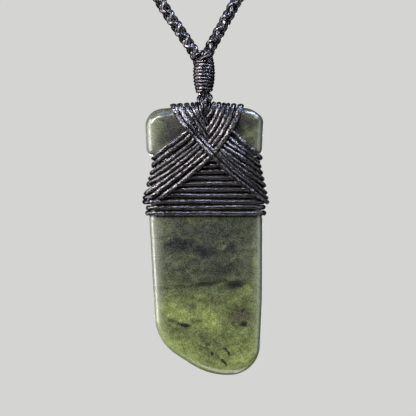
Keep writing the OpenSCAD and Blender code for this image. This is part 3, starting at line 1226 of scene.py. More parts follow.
    def rings(self) -> list[np.ndarray]:
        """The back half of the rounded edge.

        Returns:
            Rings of x, y and z points, from the middle plane to the face.
        """
        outline = self.outline
        behind = outline - np.roll(outline, 1, axis=0)
        ahead = np.roll(outline, -1, axis=0) - outline
        behind /= np.linalg.norm(behind, axis=1, keepdims=True)
        ahead /= np.linalg.norm(ahead, axis=1, keepdims=True)
        inward = np.stack([behind[:, 1] + ahead[:, 1], -behind[:, 0] - ahead[:, 0]], axis=1)
        moves = 2 * inward / (inward * inward).sum(1, keepdims=True)
        power = 2 / self.roundness(inward)
        rings: list[np.ndarray] = []
        for angle in np.radians(np.linspace(0, 90, self.edge_rings)):
            inset = self.edge_r * (1 - max(0.0, math.cos(angle)) ** power)
            rise = self.edge_r * math.sin(angle) ** power
            flat = outline + moves * inset[:, None]
            depth = self.half_t(flat[:, 1]) - self.edge_r + rise - self.sag(inset)
            rings.append(np.column_stack([flat[:, 0], depth, flat[:, 1]]))
        return rings

    def mesh(self) -> Piece:
        """The stone's closed surface: its rounded edge, then both faces.

        Returns:
            The object, with each point's distance from the outline stored as "inset".
        """
        rings = self.rings()
        stack = [ring * [1, -1, 1] for ring in rings[::-1]] + rings
        count = len(self.outline)
        faces = band_faces(len(stack), count)
        flat, triangles = self.face_fill(rings[-1][:, [0, 2]])
        depth = self.half_t(flat[:, 1]) - self.sag(self.inside(flat))
        blocks = list(stack)
        for side, border in ((-1, 0), (1, (len(stack) - 1) * count)):
            extra = sum(len(block) for block in blocks)
            blocks.append(np.column_stack([flat[count:, 0], side * depth[count:], flat[count:, 1]]))
            for triangle in triangles:
                placed = tuple(border + v if v < count else extra + v - count for v in triangle)
                faces.append(placed if side < 0 else placed[::-1])
        points = np.concatenate(blocks)
        piece = mesh_object("adze_blade", to_row(points), faces)
        store(piece.data, "inset", np.maximum(0.0, self.inside(points[:, [0, 2]])))
        return piece

    def build(self, finish: Finish) -> None:
        """The dressed stone, in place of its CAD node.

        Args:
            finish: Its finish.
        """
        piece = self.mesh()
        piece.data.materials.append(finish)
        declare(piece, "stone")


@dataclass(frozen=True)
class Thread:
    """One slanting thread's front view.

    group says which threads of the other family it covers: every one with a higher number and, where it
    runs to the right, its own number too. line is its middle line in millimetres over the stone's low point,
    from the crest down.
    """

    group: int
    line: tuple[Span, ...]


def thread(group: int, *line: Span) -> Thread:
    """One slanting thread, from its group and the points of its line."""
    return Thread(group, line)


THREADS_TO_RIGHT = (
    thread(
        1, (-5.93, 50.22), (-5.69, 49.26), (-5.28, 48.15), (-4.54, 46.94), (-2.44, 44.33), (1.48, 40.13),
        (2.96, 38.65), (4.72, 36.98), (8.52, 33.94), (9.81, 32.96), (11.57, 31.85),
    ),
    thread(
        1, (-4.72, 50.31), (-4.5, 49.26), (-4.09, 48.19), (-3.48, 47.15), (-2.83, 46.19), (-1.39, 44.3),
        (1.2, 41.48), (2.31, 40.43), (4.54, 38.15), (5.65, 37.17), (11.39, 32.67),
    ),
    thread(
        2, (-3.46, 50.37), (-3.24, 49.35), (-2.78, 48.28), (-0.74, 45.0), (-0.09, 44.04), (3.24, 40.06),
        (5.46, 38.0), (7.69, 36.2), (9.17, 35.19), (10.83, 33.89),
    ),
    thread(
        2, (-2.41, 50.41), (-2.24, 49.44), (-1.91, 48.43), (-1.33, 47.35), (-0.65, 46.24), (2.96, 41.19),
        (3.8, 40.26), (4.54, 39.59), (7.13, 37.59), (9.35, 36.11), (10.83, 35.0),
    ),
    thread(
        3, (-1.69, 50.44), (-1.59, 49.44), (-1.35, 48.33), (-0.83, 47.17), (0.93, 44.17), (2.0, 42.63),
        (3.06, 41.48), (5.46, 39.63), (9.17, 37.22), (10.09, 36.57), (10.65, 36.11),
    ),
    thread(
        3, (-1.02, 50.46), (-0.94, 49.44), (-0.72, 48.33), (-0.28, 47.31), (0.52, 45.93), (1.52, 44.31),
        (2.59, 42.96), (3.61, 42.04), (8.98, 38.37), (10.46, 37.22),
    ),
    thread(
        4, (-0.41, 50.46), (-0.28, 49.44), (0.09, 48.24), (0.83, 46.85), (1.89, 45.24), (3.06, 43.7),
        (4.17, 42.67), (4.91, 42.11), (7.13, 40.7), (9.35, 39.07), (10.46, 38.06),
    ),
    thread(
        4, (0.19, 50.46), (0.43, 49.35), (1.02, 48.06), (1.94, 46.57), (3.06, 45.04), (4.26, 43.76),
        (6.57, 41.85), (9.54, 39.54), (10.28, 38.89),
    ),
    thread(
        4, (0.74, 50.46), (1.17, 49.44), (1.94, 48.15), (2.93, 46.76), (3.98, 45.56), (7.13, 42.69),
        (10.0, 40.19), (10.46, 39.7),
    ),
)
THREADS_TO_LEFT = (
    thread(
        1, (6.48, 50.19), (6.24, 49.07), (5.54, 47.22), (4.61, 45.37), (3.46, 43.52), (2.04, 41.61),
        (0.46, 39.85), (-4.72, 35.37), (-8.1, 32.9), (-9.2, 32.3), (-11.2, 32.15),
    ),
    thread(
        1, (5.2, 50.26), (4.94, 49.07), (4.69, 48.15), (4.35, 47.22), (3.93, 46.3), (2.87, 44.44),
        (2.24, 43.52), (0.8, 41.67), (-0.06, 40.7), (-1.02, 39.81), (-9.35, 33.33), (-10.28, 32.95),
        (-11.4, 32.75),
    ),
    thread(
        1, (4.17, 50.31), (4.02, 49.07), (3.8, 48.15), (3.46, 47.22), (3.04, 46.3), (2.54, 45.37),
        (1.98, 44.48), (0.06, 41.96), (-0.69, 41.24), (-2.31, 39.78), (-5.09, 37.59), (-8.8, 34.96),
        (-11.02, 33.52),
    ),
    thread(
        2, (3.37, 50.37), (3.24, 49.17), (2.93, 48.19), (2.0, 46.3), (1.48, 45.37), (0.24, 43.59),
        (-1.02, 42.13), (-6.02, 37.93), (-7.87, 36.7), (-8.8, 36.19), (-9.91, 35.65), (-11.02, 35.0),
    ),
    thread(
        2, (2.46, 50.41), (2.35, 49.26), (2.09, 48.33), (1.69, 47.33), (1.2, 46.43), (-1.24, 42.91),
        (-1.8, 42.24), (-6.2, 38.91), (-8.98, 37.07), (-10.83, 35.93),
    ),
    thread(
        3, (1.52, 50.43), (1.37, 49.26), (1.0, 48.33), (0.5, 47.54), (-0.13, 46.74), (-0.76, 45.81),
        (-1.89, 43.78), (-2.54, 42.81), (-3.24, 42.17), (-5.65, 40.3), (-9.35, 37.72), (-10.83, 36.76),
    ),
    thread(
        3, (0.76, 50.44), (0.5, 49.26), (0.0, 48.24), (-2.43, 44.57), (-3.06, 43.89), (-3.8, 43.22),
        (-6.57, 41.11), (-8.43, 39.81), (-10.83, 37.87),
    ),
    thread(
        4, (0.19, 50.46), (-0.24, 49.26), (-0.8, 48.33), (-2.78, 45.41), (-3.56, 44.59), (-8.43, 40.93),
        (-10.65, 38.98),
    ),
)


@dataclass
class Lashing:
    """The waxed thread on the stone: level turns at the waist, and two slanting families woven in groups.

    Sizes are in millimetres. at_side is how far in from the waist's edge the threads begin to be pulled flat
    and how far in they are flattest. beside_from is the distance from the middle line over which they spread.
    The end of tucked_thread, which runs to the left, goes under the waist turns up to number tucked_over.
    """

    blade: Blade
    thread_tree: Tree
    waist_lay: ThreadLay = ThreadLay(ply_depth=0.15)
    slant_lay: ThreadLay = ThreadLay(ply_depth=0.12, ring_spacing=0.00022, lay_length=0.007)
    thread_r: float = 0.42
    waist_r: float = 0.46
    waist_press: float = 0.95
    seat: float = 0.02
    layer: float = 0.72
    ramp: float = 3.8
    turn_heights: tuple[float, ...] = (30.0, 30.98, 32.02, 33.2, 34.3, 35.3, 36.4, 37.55, 38.65, 39.7)
    widest_at_crest: float = 0.62
    widest: float = 0.46
    widest_gain: float = 0.1
    narrowest: float = 0.32
    narrowing: float = 9.0
    crowding: float = 0.505
    thickest: float = 0.4
    least_seat: float = 0.6
    least_height: float = 0.65
    crest_flattening: float = 0.25
    crest: Span = (47.0, 49.5)
    at_side: Span = (-2.2, -0.4)
    beside_from: Span = (8.0, 9.5)
    snug_heights: tuple[float, ...] = (33.0, 35.2, 37.0, 39.8)
    snug_left: tuple[float, ...] = (1.0, 0.7, 0.45, 0.25)
    snug_right: tuple[float, ...] = (1.0, 0.85, 0.7, 0.45)
    tucked_thread: int = 0
    tucked_over: int = 2
    tuck_rise: float = 1.05
    tuck_sunk: float = 0.06
    tuck_x: Span = (7.6, 9.0)
    wander: Span = (0.07, 0.04)
    wander_step: float = 1.7
    samples: int = 110

    def snug(self, points: np.ndarray) -> np.ndarray:
        """Share of their thickness that threads keep where they are pulled tight round the stone's sides.

        Args:
            points: The threads' front view, as rows of x and z.

        Returns:
            The share at each point.
        """
        x, z = points[:, 0], points[:, 1]
        edges = [[self.blade.waist_x(side, v) for v in z] for side in (1, -1)]
        pulled = eased(np.abs(x) - np.where(x > 0, *edges), self.at_side)
        left = np.interp(z, self.snug_heights, self.snug_left)
        right = np.interp(z, self.snug_heights, self.snug_right)
        return 1 - pulled * (1 - np.where(x > 0, right, left))

    def base_lift(self, points: np.ndarray, tucked: bool) -> np.ndarray:
        """Lift of a slanting thread over the stone and the waist turns.

        Args:
            points: The thread's front view, as rows of x and z.
            tucked: Whether its end goes under waist turns.

        Returns:
            The lift at each point.
        """
        z, snug = points[:, 1], self.snug(points)
        over_waist = smooth((self.turn_heights[-1] + self.waist_r + self.ramp - z) / self.ramp)
        if tucked:
            covering = self.turn_heights[self.tucked_over] + self.waist_r
            over_waist = over_waist * smooth((z - covering) / self.tuck_rise)
        own = self.thread_r * (self.least_seat + (1 - self.least_seat) * snug) + self.seat
        return own + (self.waist_r * 2 * self.waist_press) * over_waist * snug

    def front_line(self, slanting: Thread, tucked: bool) -> np.ndarray:
        """Front view of a slanting thread, from over the crest to past the side.

        Args:
            slanting: The charted thread.
            tucked: Whether its end goes under waist turns.

        Returns:
            The line, as dense rows of x and z that lie closer at both ends.
        """
        knots = np.array(slanting.line)
        knots[0, 1] = self.blade.crest_z(knots[0, 0]) + self.thread_r + self.seat
        beyond = 3.0
        far = knots[-1] + unit(knots[-1] - knots[-2]) * beyond
        line = curve_through(np.vstack([knots, far]), steps=40)
        past = self.blade.inside(line) < -self.base_lift(line, tucked)
        past[: len(past) // 2] = False
        line = line[: int(np.argmax(past)) + 1 if past.any() else len(line)]
        run = run_along(line)
        at = (1 - np.cos(np.pi * np.linspace(0, 1, self.samples))) / 2 * run[-1]
        return np.column_stack([np.interp(at, run, line[:, 0]), np.interp(at, run, line[:, 1])])

    @staticmethod
    def crossing(line: np.ndarray, other: np.ndarray) -> float | None:
        """Where another line crosses a line.

        Args:
            line: The line, as rows of x and z.
            other: The other line.

        Returns:
            The distance along the line to the first crossing, or None.
        """
        run = run_along(line)
        p, r = line[:-1, None], np.diff(line, axis=0)[:, None]
        q, s = other[None, :-1], np.diff(other, axis=0)[None]
        cross = r[..., 0] * s[..., 1] - r[..., 1] * s[..., 0]
        least = 1e-12
        cross = np.where(np.abs(cross) < least, least, cross)
        gap = q - p
        t = (gap[..., 0] * s[..., 1] - gap[..., 1] * s[..., 0]) / cross
        u = (gap[..., 0] * r[..., 1] - gap[..., 1] * r[..., 0]) / cross
        found = np.argwhere((t >= 0) & (t <= 1) & (u >= 0) & (u <= 1))
        if not len(found):
            return None
        i, j = found[0]
        return float(run[i] + t[i, j] * (run[i + 1] - run[i]))

    @staticmethod
    def high_share(line: np.ndarray, over: list[float], under: list[float]) -> np.ndarray:
        """Share of a layer that a thread is raised along its line, to pass over the threads it covers.

        Args:
            line: The thread's line.
            over: Distances along it to the threads that it covers.
            under: Distances along it to the threads that cover it.

        Returns:
            The share at each point.
        """
        run = run_along(line)
        if not over:
            return np.zeros(len(run))
        before, rise_length, usual_gap, least_gap = 3.2, 2.6, 2.2, 0.9
        wait_share, fall_share = 0.15, 0.7
        rise = smooth((run - min(over) + before) / rise_length)
        last = max(over)
        later = [a for a in under if a > last]
        gap = min(later) - last if later else usual_gap
        fall = smooth((run - last - wait_share * gap) / (fall_share * max(gap, least_gap)))
        return rise * (1 - fall)

    def half_width(self, line: np.ndarray, beside: list[np.ndarray]) -> np.ndarray:
        """Half of a thread's width along its line: it spreads into the room that its neighbours leave.

        Args:
            line: The thread's line.
            beside: The lines of its neighbours.

        Returns:
            The half width at each point, evened out over a few points.
        """
        at_crest = 1 - smooth(run_along(line) / self.narrowing)
        widest = self.widest + (self.widest_at_crest - self.widest) * at_crest
        widest = widest + self.widest_gain * eased(np.abs(line[:, 0]), self.beside_from)
        room = np.full(len(line), np.inf)
        for other in beside:
            apart = np.linalg.norm(line[:, None] - other[None], axis=-1).min(1)
            room = np.minimum(room, self.crowding * apart)
        width = np.clip(room, self.narrowest, widest)
        reach = 3
        span = 2 * reach + 1
        return np.convolve(np.pad(width, reach, mode="edge"), np.ones(span) / span, mode="valid")

    def loop(self, line: np.ndarray, radius: np.ndarray, high: np.ndarray, tucked: bool) -> Path:
        """One closed thread: down the front, round the side, up the back and over the crest.

        Args:
            line: Its front view.
            radius: Its half width at each point of the line.
            high: The share of a layer that it is raised there.
            tucked: Whether its end goes under waist turns.

        Returns:
            The path.
        """
        inside, edge_r, step = self.blade.inside, self.blade.edge_r, 0.05
        lift = self.base_lift(line, tucked) + self.layer * high
        depth = self.blade.depth(line, lift)
        slope_x = (inside(line + [step, 0]) - inside(line - [step, 0])) / (2 * step)
        slope_z = (inside(line + [0, step]) - inside(line - [0, step])) / (2 * step)
        lean = np.clip((edge_r - inside(line)) / (edge_r + lift), 0, 1)
        up = np.sqrt(1 - lean**2)
        own = self.least_height + (1 - self.least_height) * self.snug(line)
        own = own * (1 - self.crest_flattening * eased(line[:, 1], self.crest))
        height = np.minimum(radius, self.thickest * own)
        sides = []
        for face in (-1, 1):
            points = np.column_stack([line[:, 0], face * depth, line[:, 1]])
            way = np.column_stack([-slope_x * lean, face * up, -slope_z * lean])
            sides.append((points, way / np.linalg.norm(way, axis=1, keepdims=True)))
        (front, front_way), (back, back_way) = sides
        press = height / radius
        return Path(
            to_row(np.concatenate([front, back[::-1]])),
            np.concatenate([radius, radius[::-1]]) * MM,
            closed=True,
            press=np.concatenate([press, press[::-1]]),
            press_way=np.concatenate([front_way, back_way[::-1]]),
        )

    def slanting_paths(self) -> list[Path]:
        """Every slanting thread of both families.

        Returns:
            The closed paths.
        """
        families = {Runs.TO_RIGHT: THREADS_TO_RIGHT, Runs.TO_LEFT: THREADS_TO_LEFT}
        tucked = {(Runs.TO_LEFT, self.tucked_thread)}
        lines = {
            runs: [self.front_line(slanting, (runs, k) in tucked) for k, slanting in enumerate(family)]
            for runs, family in families.items()
        }
        paths: list[Path] = []
        for runs, family in families.items():
            facing = Runs(-runs.value)
            margin = 0 if runs is Runs.TO_RIGHT else 1
            for k, line in enumerate(lines[runs]):
                over, under = [], []
                for other, other_line in zip(families[facing], lines[facing]):
                    at = self.crossing(line, other_line)
                    if at is not None:
                        (over if family[k].group + margin <= other.group else under).append(at)
                beside = [lines[runs][j] for j in (k - 1, k + 1) if 0 <= j < len(family)]
                radius = self.half_width(line, beside)
                high = self.high_share(line, over, under)
                paths.append(self.loop(line, radius, high, (runs, k) in tucked))
        return paths

    def tuck_lift(self, turn: int, x: np.ndarray) -> np.ndarray:
        """Lift of a waist turn where it lies over the end of the tucked thread, at the left edge."""
        lift = self.thread_r * 2 - self.tuck_sunk if turn == self.tucked_over else 0.0
        return lift * eased(-x, self.tuck_x)

    def waist_path(self, turn: int) -> Path:
        """One level turn, with rounded corners where it goes round the stone's edges.

        Args:
            turn: The turn's number, from the lowest.

        Returns:
            The closed path.
        """
        blade, z = self.blade, self.turn_heights[turn]
        corner_points, straight_points = 9, 40
        flat = blade.thickness / 2 - blade.edge_r
        middles: list[Span] = []
        ways: list[Span] = []
        for quarter in range(4):
            side = 1 if quarter in (0, 3) else -1
            face = 1 if quarter < 2 else -1
            middle = (side * (blade.waist_x(side, z) - blade.edge_r), face * flat)
            angles = np.radians(quarter * 90 + np.linspace(0, 90, corner_points))
            middles += [middle] * corner_points
            ways += [(math.cos(a), math.sin(a)) for a in angles]
            if quarter in (0, 2):
                far = -side * (blade.waist_x(-side, z) - blade.edge_r)
                between = np.linspace(middle[0], far, straight_points + 2)[1:-1]
                middles += [(x, face * flat) for x in between]
                ways += [(0.0, float(face))] * straight_points
        route = np.array(middles) + np.array(ways) * (blade.edge_r + self.waist_r + self.seat)
        kept = self.waist_press * self.snug(np.column_stack([route[:, 0], np.full(len(route), z)]))
        lift = self.tuck_lift(turn, route[:, 0]) - self.waist_r * (1 - kept)
        route += np.array(ways) * lift[:, None]
        around = np.arctan2(route[:, 1], route[:, 0])
        start = self.wander_step * turn
        wide, close = self.wander
        heights = z + wide * np.sin(around + start) + close * np.sin(3 * around + 2 * start)
        return Path(
            to_row(np.column_stack([route, heights])),
            np.full(len(route), self.waist_r * MM),
            closed=True,
            press=kept,
            press_way=np.column_stack([ways, np.zeros(len(ways))]),
        )

    def build(self, finish: Finish, taut: Finish) -> None:
        """The dressed waist turns and slanting threads, in place of their CAD nodes.

        Args:
            finish: The slanting threads' finish.
            taut: The finish of the waist turns, which are pulled tighter.
        """
        turns = [self.waist_path(turn) for turn in range(len(self.turn_heights))]
        waist = path_object("waist_thread", turns)
        apply_tree(waist, self.thread_tree, self.waist_lay.values(taut))
        declare(waist, "waist_wraps")
        slants = path_object("slanting_thread", self.slanting_paths())
        apply_tree(slants, self.thread_tree, self.slant_lay.values(finish))
        declare(slants, "cross_lashing")


@dataclass
class HangingLoop:
    """The thin threads that come out of the whipping and go over the crest, front and back.

    Sizes are in millimetres. Each strand is a list of x, y and z points of its front half, over the stone's
    low point; its back half is the mirror image.
    """

    thread_tree: Tree
    lay: ThreadLay = ThreadLay(ring_spacing=0.00016, lay_length=0.0016)
    thread_r: float = 0.3
    end_share: float = 0.6
    strands: tuple[tuple[Triple, ...], ...] = (
        (
            (-0.8, -4.4, 47.6), (-0.72, -5.0, 48.3), (-0.6, -5.35, 49.0), (-0.6, -5.3, 49.9),
            (-0.62, -4.4, 50.7), (-0.5, -2.8, 51.3), (-0.3, -0.9, 51.9),
        ),
        (
            (0.24, -4.3, 47.95), (0.15, -4.95, 48.5), (0.0, -5.4, 49.2), (0.0, -5.4, 50.0),
            (0.1, -5.0, 50.75), (0.25, -2.9, 51.4), (0.2, -0.6, 51.95),
        ),
        (
            (-0.35, -4.9, 49.3), (-0.3, -5.5, 49.9), (-0.05, -5.2, 50.46), (0.4, -4.2, 51.0),
            (0.85, -2.8, 51.3), (1.0, -1.3, 51.5), (0.7, -0.4, 51.9),
        ),
        (
            (-1.1, -4.5, 49.9), (-1.24, -4.4, 50.4), (-1.34, -3.8, 50.8), (-1.2, -2.8, 51.25),
            (-0.95, -1.6, 51.6), (-0.55, -0.5, 52.1),
        ),
    )
    knot_centre: Triple = (0.68, -4.3, 50.85)
    knot_r: float = 0.5
    knot_swell: float = 0.28
    knot_thread_r: float = 0.2
    knot_length: float = 0.95
    knot_turns: float = 3.5
    knot_slant: float = 36.0
    knot_points: int = 90

    def knot(self) -> Path:
        """The small coil in which the strands are caught, at the right of the loop's front.

        Returns:
            The coil's path.
        """
        slant = math.radians(self.knot_slant)
        axis = np.array([math.cos(slant), 0.0, -math.sin(slant)])
        up = np.array([math.sin(slant), 0.0, math.cos(slant)])
        share = np.linspace(0, 1, self.knot_points)[:, None]
        around = 2 * math.pi * self.knot_turns * share
        swell = self.knot_r * (1 - self.knot_swell + self.knot_swell * np.sin(math.pi * share))
        ring = up * np.cos(around) - np.array([0.0, 1.0, 0.0]) * np.sin(around)
        points = np.array(self.knot_centre) + axis * (share - 0.5) * self.knot_length + ring * swell
        return Path(to_row(points), np.full(len(points), self.knot_thread_r * MM))

    def strand(self, knots: tuple[Triple, ...]) -> Path:
        """One strand, thinner towards both ends.

        Args:
            knots: The points of its front half.

        Returns:
            The whole strand's path.
        """
        steps = 12
        front = np.array(knots)
        back = (front * [1, -1, 1])[::-1]
        line = curve_through(np.concatenate([front, back]), steps)
        count = np.arange(len(line))
        from_end = np.minimum(count, count[::-1]) / (2 * steps)
        radii = self.thread_r * (self.end_share + (1 - self.end_share) * smooth(from_end)) * MM
        return Path(to_row(line), radii)

    def build(self, finish: Finish) -> None:
        """The dressed loop, in place of its CAD node.

        Args:
            finish: Its finish.
        """
        paths = [self.knot()] + [self.strand(knots) for knots in self.strands]
        piece = path_object("hanging_thread", paths)
        apply_tree(piece, self.thread_tree, self.lay.values(finish))
        declare(piece, "hanging_loop")


@dataclass
class Whipping:
    """The close winding that gathers the cord's two runs and the hanging loop, with two ties over its top.

    Sizes are in millimetres, and a tie is a list of x, y and z points over the stone's low point.
    thread_share is the thread's radius as a share of the winding's pitch, and core_depth counts in thread
    radii.
    """

    thread_tree: Tree
    lay: ThreadLay = ThreadLay(ring_spacing=0.00018, lay_length=0.005)
    low_z: float = 51.9
    height: float = 7.1
    turns: float = 10.6
    turn_points: int = 40
    width: float = 4.15
    low_r: float = 1.45
    top_r: float = 1.7
    middle_x: float = -0.28
    thread_share: float = 0.54
    tuck_depth: float = 0.8
    tuck_points: int = 16
    core_depth: float = 1.2
    core_inset: float = 0.02
    core_rings: int = 12
    core_sides: int = 32
    tie_r: float = 0.3
    ties: tuple[tuple[Triple, ...], ...] = (
        (
            (-0.9, -1.5, 58.2), (-0.46, -2.1, 58.45), (0.15, -2.25, 58.7), (0.74, -2.0, 59.0),
            (1.15, -1.2, 59.2), (1.2, -0.3, 59.2),
        ),
        (
            (-2.0, -0.2, 58.2), (-2.3, -0.9, 58.5), (-1.85, -1.5, 58.95), (-1.2, -1.55, 59.4),
            (-0.7, -1.0, 59.75), (-0.5, -0.3, 59.8),
        ),
    )

    def radius(self, share: Values) -> Values:
        """Outer radius of the winding at a share of its height."""
        bulge = (self.width - self.low_r - self.top_r) / 2
        return self.low_r + (self.top_r - self.low_r) * share + bulge * np.sin(math.pi * share)

    def core(self, finish: Finish, thread_r: float) -> Piece:
        """The bound cord ends inside the winding, as one closed turned form.

        Args:
            finish: Its finish.
            thread_r: The winding thread's radius.

        Returns:
            The object.
        """
        profile = [(0.0, self.low_z + self.core_inset * self.height)]
        for share in np.linspace(0.0, 1.0, self.core_rings):
            at = self.core_inset + (1 - 2 * self.core_inset) * share
            profile.append((self.radius(share) - self.core_depth * thread_r, self.low_z + at * self.height))
        profile.append((0.0, self.low_z + (1 - self.core_inset) * self.height))
        points, faces = turned_form(profile, (self.middle_x, 0.0), self.core_sides)
        piece = mesh_object("whipping_core", to_row(points), faces)
        piece.data.materials.append(finish)
        return piece

    def winding(self, thread_r: float) -> Path:
        """The thread that is wound round the core, with both ends tucked in.

        Args:
            thread_r: Its radius.

        Returns:
            Its path.
        """
        count = round(self.turns * self.turn_points)
        around = np.linspace(0, 2 * math.pi * self.turns, count)
        share = np.linspace(0.5 / self.turns, 1 - 0.5 / self.turns, count)
        number = np.arange(count)
        out = np.minimum(smooth(number / self.tuck_points), smooth((count - 1 - number) / self.tuck_points))
        radius = self.radius(share) - thread_r - self.tuck_depth * (1 - out)
        x, y = self.middle_x + radius * np.cos(around), -radius * np.sin(around)
        points = np.column_stack([x, y, self.low_z + share * self.height])
        return Path(to_row(points), np.full(count, thread_r * MM))

    def build(self, finish: Finish) -> None:
        """The dressed whipping, in place of its CAD node.

        Args:
            finish: Its finish.
        """
        thread_r = self.height / self.turns * self.thread_share
        paths = [self.winding(thread_r)]
        for knots in self.ties:
            line = curve_through(np.array(knots), steps=10)
            paths.append(Path(to_row(line), np.full(len(line), self.tie_r * MM)))
        winding = path_object("whipping_thread", paths)
        apply_tree(winding, self.thread_tree, self.lay.values(finish))
        piece = join_meshes("neck_whipping_thread", [winding, self.core(finish, thread_r)])
        declare(piece, "neck_whipping")


@dataclass
class NeckCord:
    """The round four-strand braid, from the whipping round the neck and back.

    Its route and steps are in millimetres in the row's frame, and the braid's own sizes in metres.
    """

    braid_tree: Tree
    lay: Lay = Lay(plies=4.0)
    turn_length: float = 0.0052
    strand_circle: float = 0.00056
    strand_r: float = 0.00052
    weave_depth: float = 0.00018
    start_angle: float = 0.8
    half_route: tuple[Triple, ...] = (
        (-42, -130, -128), (-60, -118, -94), (-74, -98, -62), (-80, -72, -36),
        (-74, -44, -18), (-56, -20, -7), (-30, -5, -1),
    )
    left_end: tuple[Triple, ...] = (
        (-1.1, -140, -201.4), (-2.32, -140, -198.95), (-4.7, -140, -195.4),
        (-9.1, -139.5, -188.6), (-21.4, -137, -167),
    )
    right_end: tuple[Triple, ...] = (
        (19, -137, -167), (6.4, -139.5, -188.6), (2.6, -140, -195.4),
        (0.7, -140, -198.9), (0.1, -140, -201.4),
    )
    fine_until: float = 45.0
    fine_step: float = 0.2
    step: float = 0.5

    def route(self) -> np.ndarray:
        """The whole middle line on a smooth curve, closer spaced near the pendant.

        Returns:
            Its points, in millimetres.
        """
        right = tuple((-x, y, z) for x, y, z in reversed(self.half_route))
        knots = np.array(self.left_end + self.half_route + ((0, 0, 0),) + right + self.right_end, float)
        line = curve_through(knots, steps=60)
        run = run_along(line)
        whole = run[-1]
        LOG.info("cord: %.1f mm along its middle line", whole)
        ends = np.arange(0, self.fine_until, self.fine_step)
        steps = round((whole - 2 * self.fine_until) / self.step)
        middle = np.linspace(self.fine_until, whole - self.fine_until, steps)
        at = np.concatenate([ends, middle, whole - ends[::-1]])
        return np.column_stack([np.interp(at, run, line[:, axis]) for axis in range(3)])

    def build(self, finish: Finish) -> None:
        """The dressed braid, in place of its CAD node.

        Args:
            finish: Its finish.
        """
        line = self.route() * MM
        piece = path_object("neck_braid", [Path(line, np.full(len(line), self.strand_r))])
        sizes = {
            "Turn length": self.turn_length,
            "Strand circle": self.strand_circle,
            "Strand radius": self.strand_r,
            "Weave depth": self.weave_depth,
            "Start angle": self.start_angle,
        }
        apply_tree(piece, self.braid_tree, {**sizes, **self.lay.values(finish)})
        declare(piece, "braided_cord")


@dataclass(frozen=True)
class Lamp:
    """One soft rectangular light: its place and size in metres, its power in watts and its colour."""

    name: str
    place: Triple
    size: Span
    watts: float
    colour: Triple

    def build(self, focus: Triple) -> None:
        """The light.

        Args:
            focus: The point that it is aimed at.
        """
        data = bpy.data.lights.new(self.name, "AREA")
        data.shape = "RECTANGLE"
        data.size, data.size_y = self.size
        data.energy = self.watts
        data.color = self.colour
        lamp = new_object(self.name, data)
        lamp.location = self.place
        aim(lamp, Vector(focus) - Vector(self.place))


LAMPS = (
    Lamp("key_light", (-0.42, -0.62, 0.12), (0.35, 0.3), 14.0, (1.0, 0.97, 0.94)),
    Lamp("side_light", (-0.55, -0.2, -0.15), (0.3, 0.6), 4.3, (1.0, 1.0, 1.0)),
    Lamp("top_light", (-0.05, -0.25, 0.4), (0.5, 0.3), 1.05, (0.52, 0.67, 1.0)),
    Lamp("crest_light", (0.111, -0.203, 0.007), (0.2, 0.02), 1.0, (0.65, 0.78, 1.0)),
    Lamp("brow_light", (-0.065, -0.416, -0.097), (0.13, 0.015), 0.26, (1.0, 0.92, 0.88)),
    Lamp("right_high_light", (0.3, -0.4, 0.12), (0.1, 0.1), 0.55, (0.75, 0.82, 1.0)),
    Lamp("right_light", (0.55, -0.35, -0.35), (0.5, 0.8), 2.0, (1.0, 0.99, 0.96)),
    Lamp("back_light", (0.0, 0.8, -0.25), (0.25, 0.25), 4.0, (1.0, 0.98, 0.95)),
    Lamp("low_light", (0.02, -0.16, -0.6), (0.4, 0.2), 0.85, (1.0, 0.99, 0.96)),
)


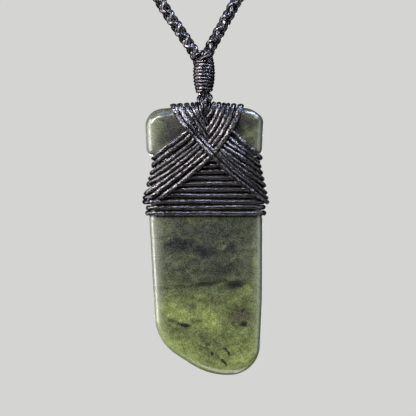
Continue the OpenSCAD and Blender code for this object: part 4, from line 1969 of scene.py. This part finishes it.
@dataclass
class Studio:
    """A plain pale floor that curves up all round, a dim sky, soft lights and the camera, in metres."""

    focus: Triple = (0.00046, -0.140, -0.2281)
    field_width: float = 0.0770
    lens: float = 120.0
    sensor: float = 36.0
    floor_middle: Span = (0.0, -0.1)
    floor_z: float = -0.62
    floor_r: float = 3.2
    cove_r: float = 1.0
    wall_height: float = 4.5
    floor_sides: int = 96
    paper_seen: Colour = (0.66, 0.66, 0.65, 1.0)
    paper_lit: Colour = (0.06, 0.06, 0.06, 1.0)
    sky: Colour = (0.75, 0.77, 0.8, 1.0)
    sky_strength: float = 0.02

    def paper(self) -> Finish:
        """Pale paper that throws little light back on the pendant.

        Returns:
            The material.
        """
        material, w = new_material("pale_paper")
        seen = w.out("ShaderNodeEmission", {"Color": self.paper_seen, "Strength": 1.0})
        lit = w.out("ShaderNodeBsdfDiffuse", {"Color": self.paper_lit, "Roughness": 1.0})
        by_camera = w.out("ShaderNodeLightPath", output="Is Camera Ray")
        w.surface("ShaderNodeMixShader", {0: by_camera, 1: lit, 2: seen})
        return material

    def backdrop(self) -> None:
        """The floor and its wall, one turned surface."""
        profile = [(share * self.floor_r, self.floor_z) for share in (0.0, 0.5, 1.0)]
        for angle in np.radians(np.linspace(6, 90, 15)):
            radius = self.floor_r + self.cove_r * math.sin(angle)
            profile.append((radius, self.floor_z + self.cove_r * (1 - math.cos(angle))))
        profile.append((self.floor_r + self.cove_r, self.floor_z + self.wall_height))
        points, faces = turned_form(profile, self.floor_middle, self.floor_sides, bowl=True)
        floor = mesh_object("studio_floor", points, faces)
        floor.data.materials.append(self.paper())

    def world(self) -> None:
        """A dim even sky, so that no side is black."""
        world = bpy.data.worlds.new("studio_world")
        world.use_nodes = True
        background = world.node_tree.nodes["Background"]
        background.inputs["Color"].default_value = self.sky
        background.inputs["Strength"].default_value = self.sky_strength
        bpy.context.scene.world = world

    def camera(self) -> None:
        """The camera, square on to the pendant's front."""
        data = bpy.data.cameras.new("photo_camera")
        data.lens = self.lens
        data.sensor_width = self.sensor
        data.clip_start, data.clip_end = 0.01, 20.0
        eye = new_object("photo_camera", data)
        ahead = Vector((0.0, 1.0, 0.0))
        eye.location = Vector(self.focus) - ahead * (self.field_width * self.lens / self.sensor)
        aim(eye, ahead)
        bpy.context.scene.camera = eye

    def build(self) -> None:
        """The whole studio."""
        self.camera()
        self.backdrop()
        for lamp in LAMPS:
            lamp.build(self.focus)
        self.world()
        bpy.context.scene.view_settings.view_transform = "Standard"


def main() -> None:
    """Builds and dresses the necklace and its studio, in order."""
    logging.basicConfig(level=logging.INFO, format="%(name)s: %(message)s")
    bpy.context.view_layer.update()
    thread_tree = laid_thread_tree()
    fibres = fibre_group()
    lashed = WaxedFibre("lashing_thread", fibres).build()
    taut = WaxedFibre(
        "waist_thread_wax", fibres, bare_roughness=0.25, waxed_roughness=0.19, shine=1.35
    ).build()
    braided = WaxedFibre("neck_braid_strands", fibres, bump=0.4).build()
    stone = Nephrite("polished_nephrite", cloud_group()).build()

    Studio().build()
    blade = Blade()
    blade.build(stone)
    Lashing(blade, thread_tree).build(lashed, taut)
    HangingLoop(thread_tree).build(lashed)
    Whipping(thread_tree).build(lashed)
    NeckCord(four_strand_braid_tree()).build(braided)


if __name__ == "__main__":
    main()
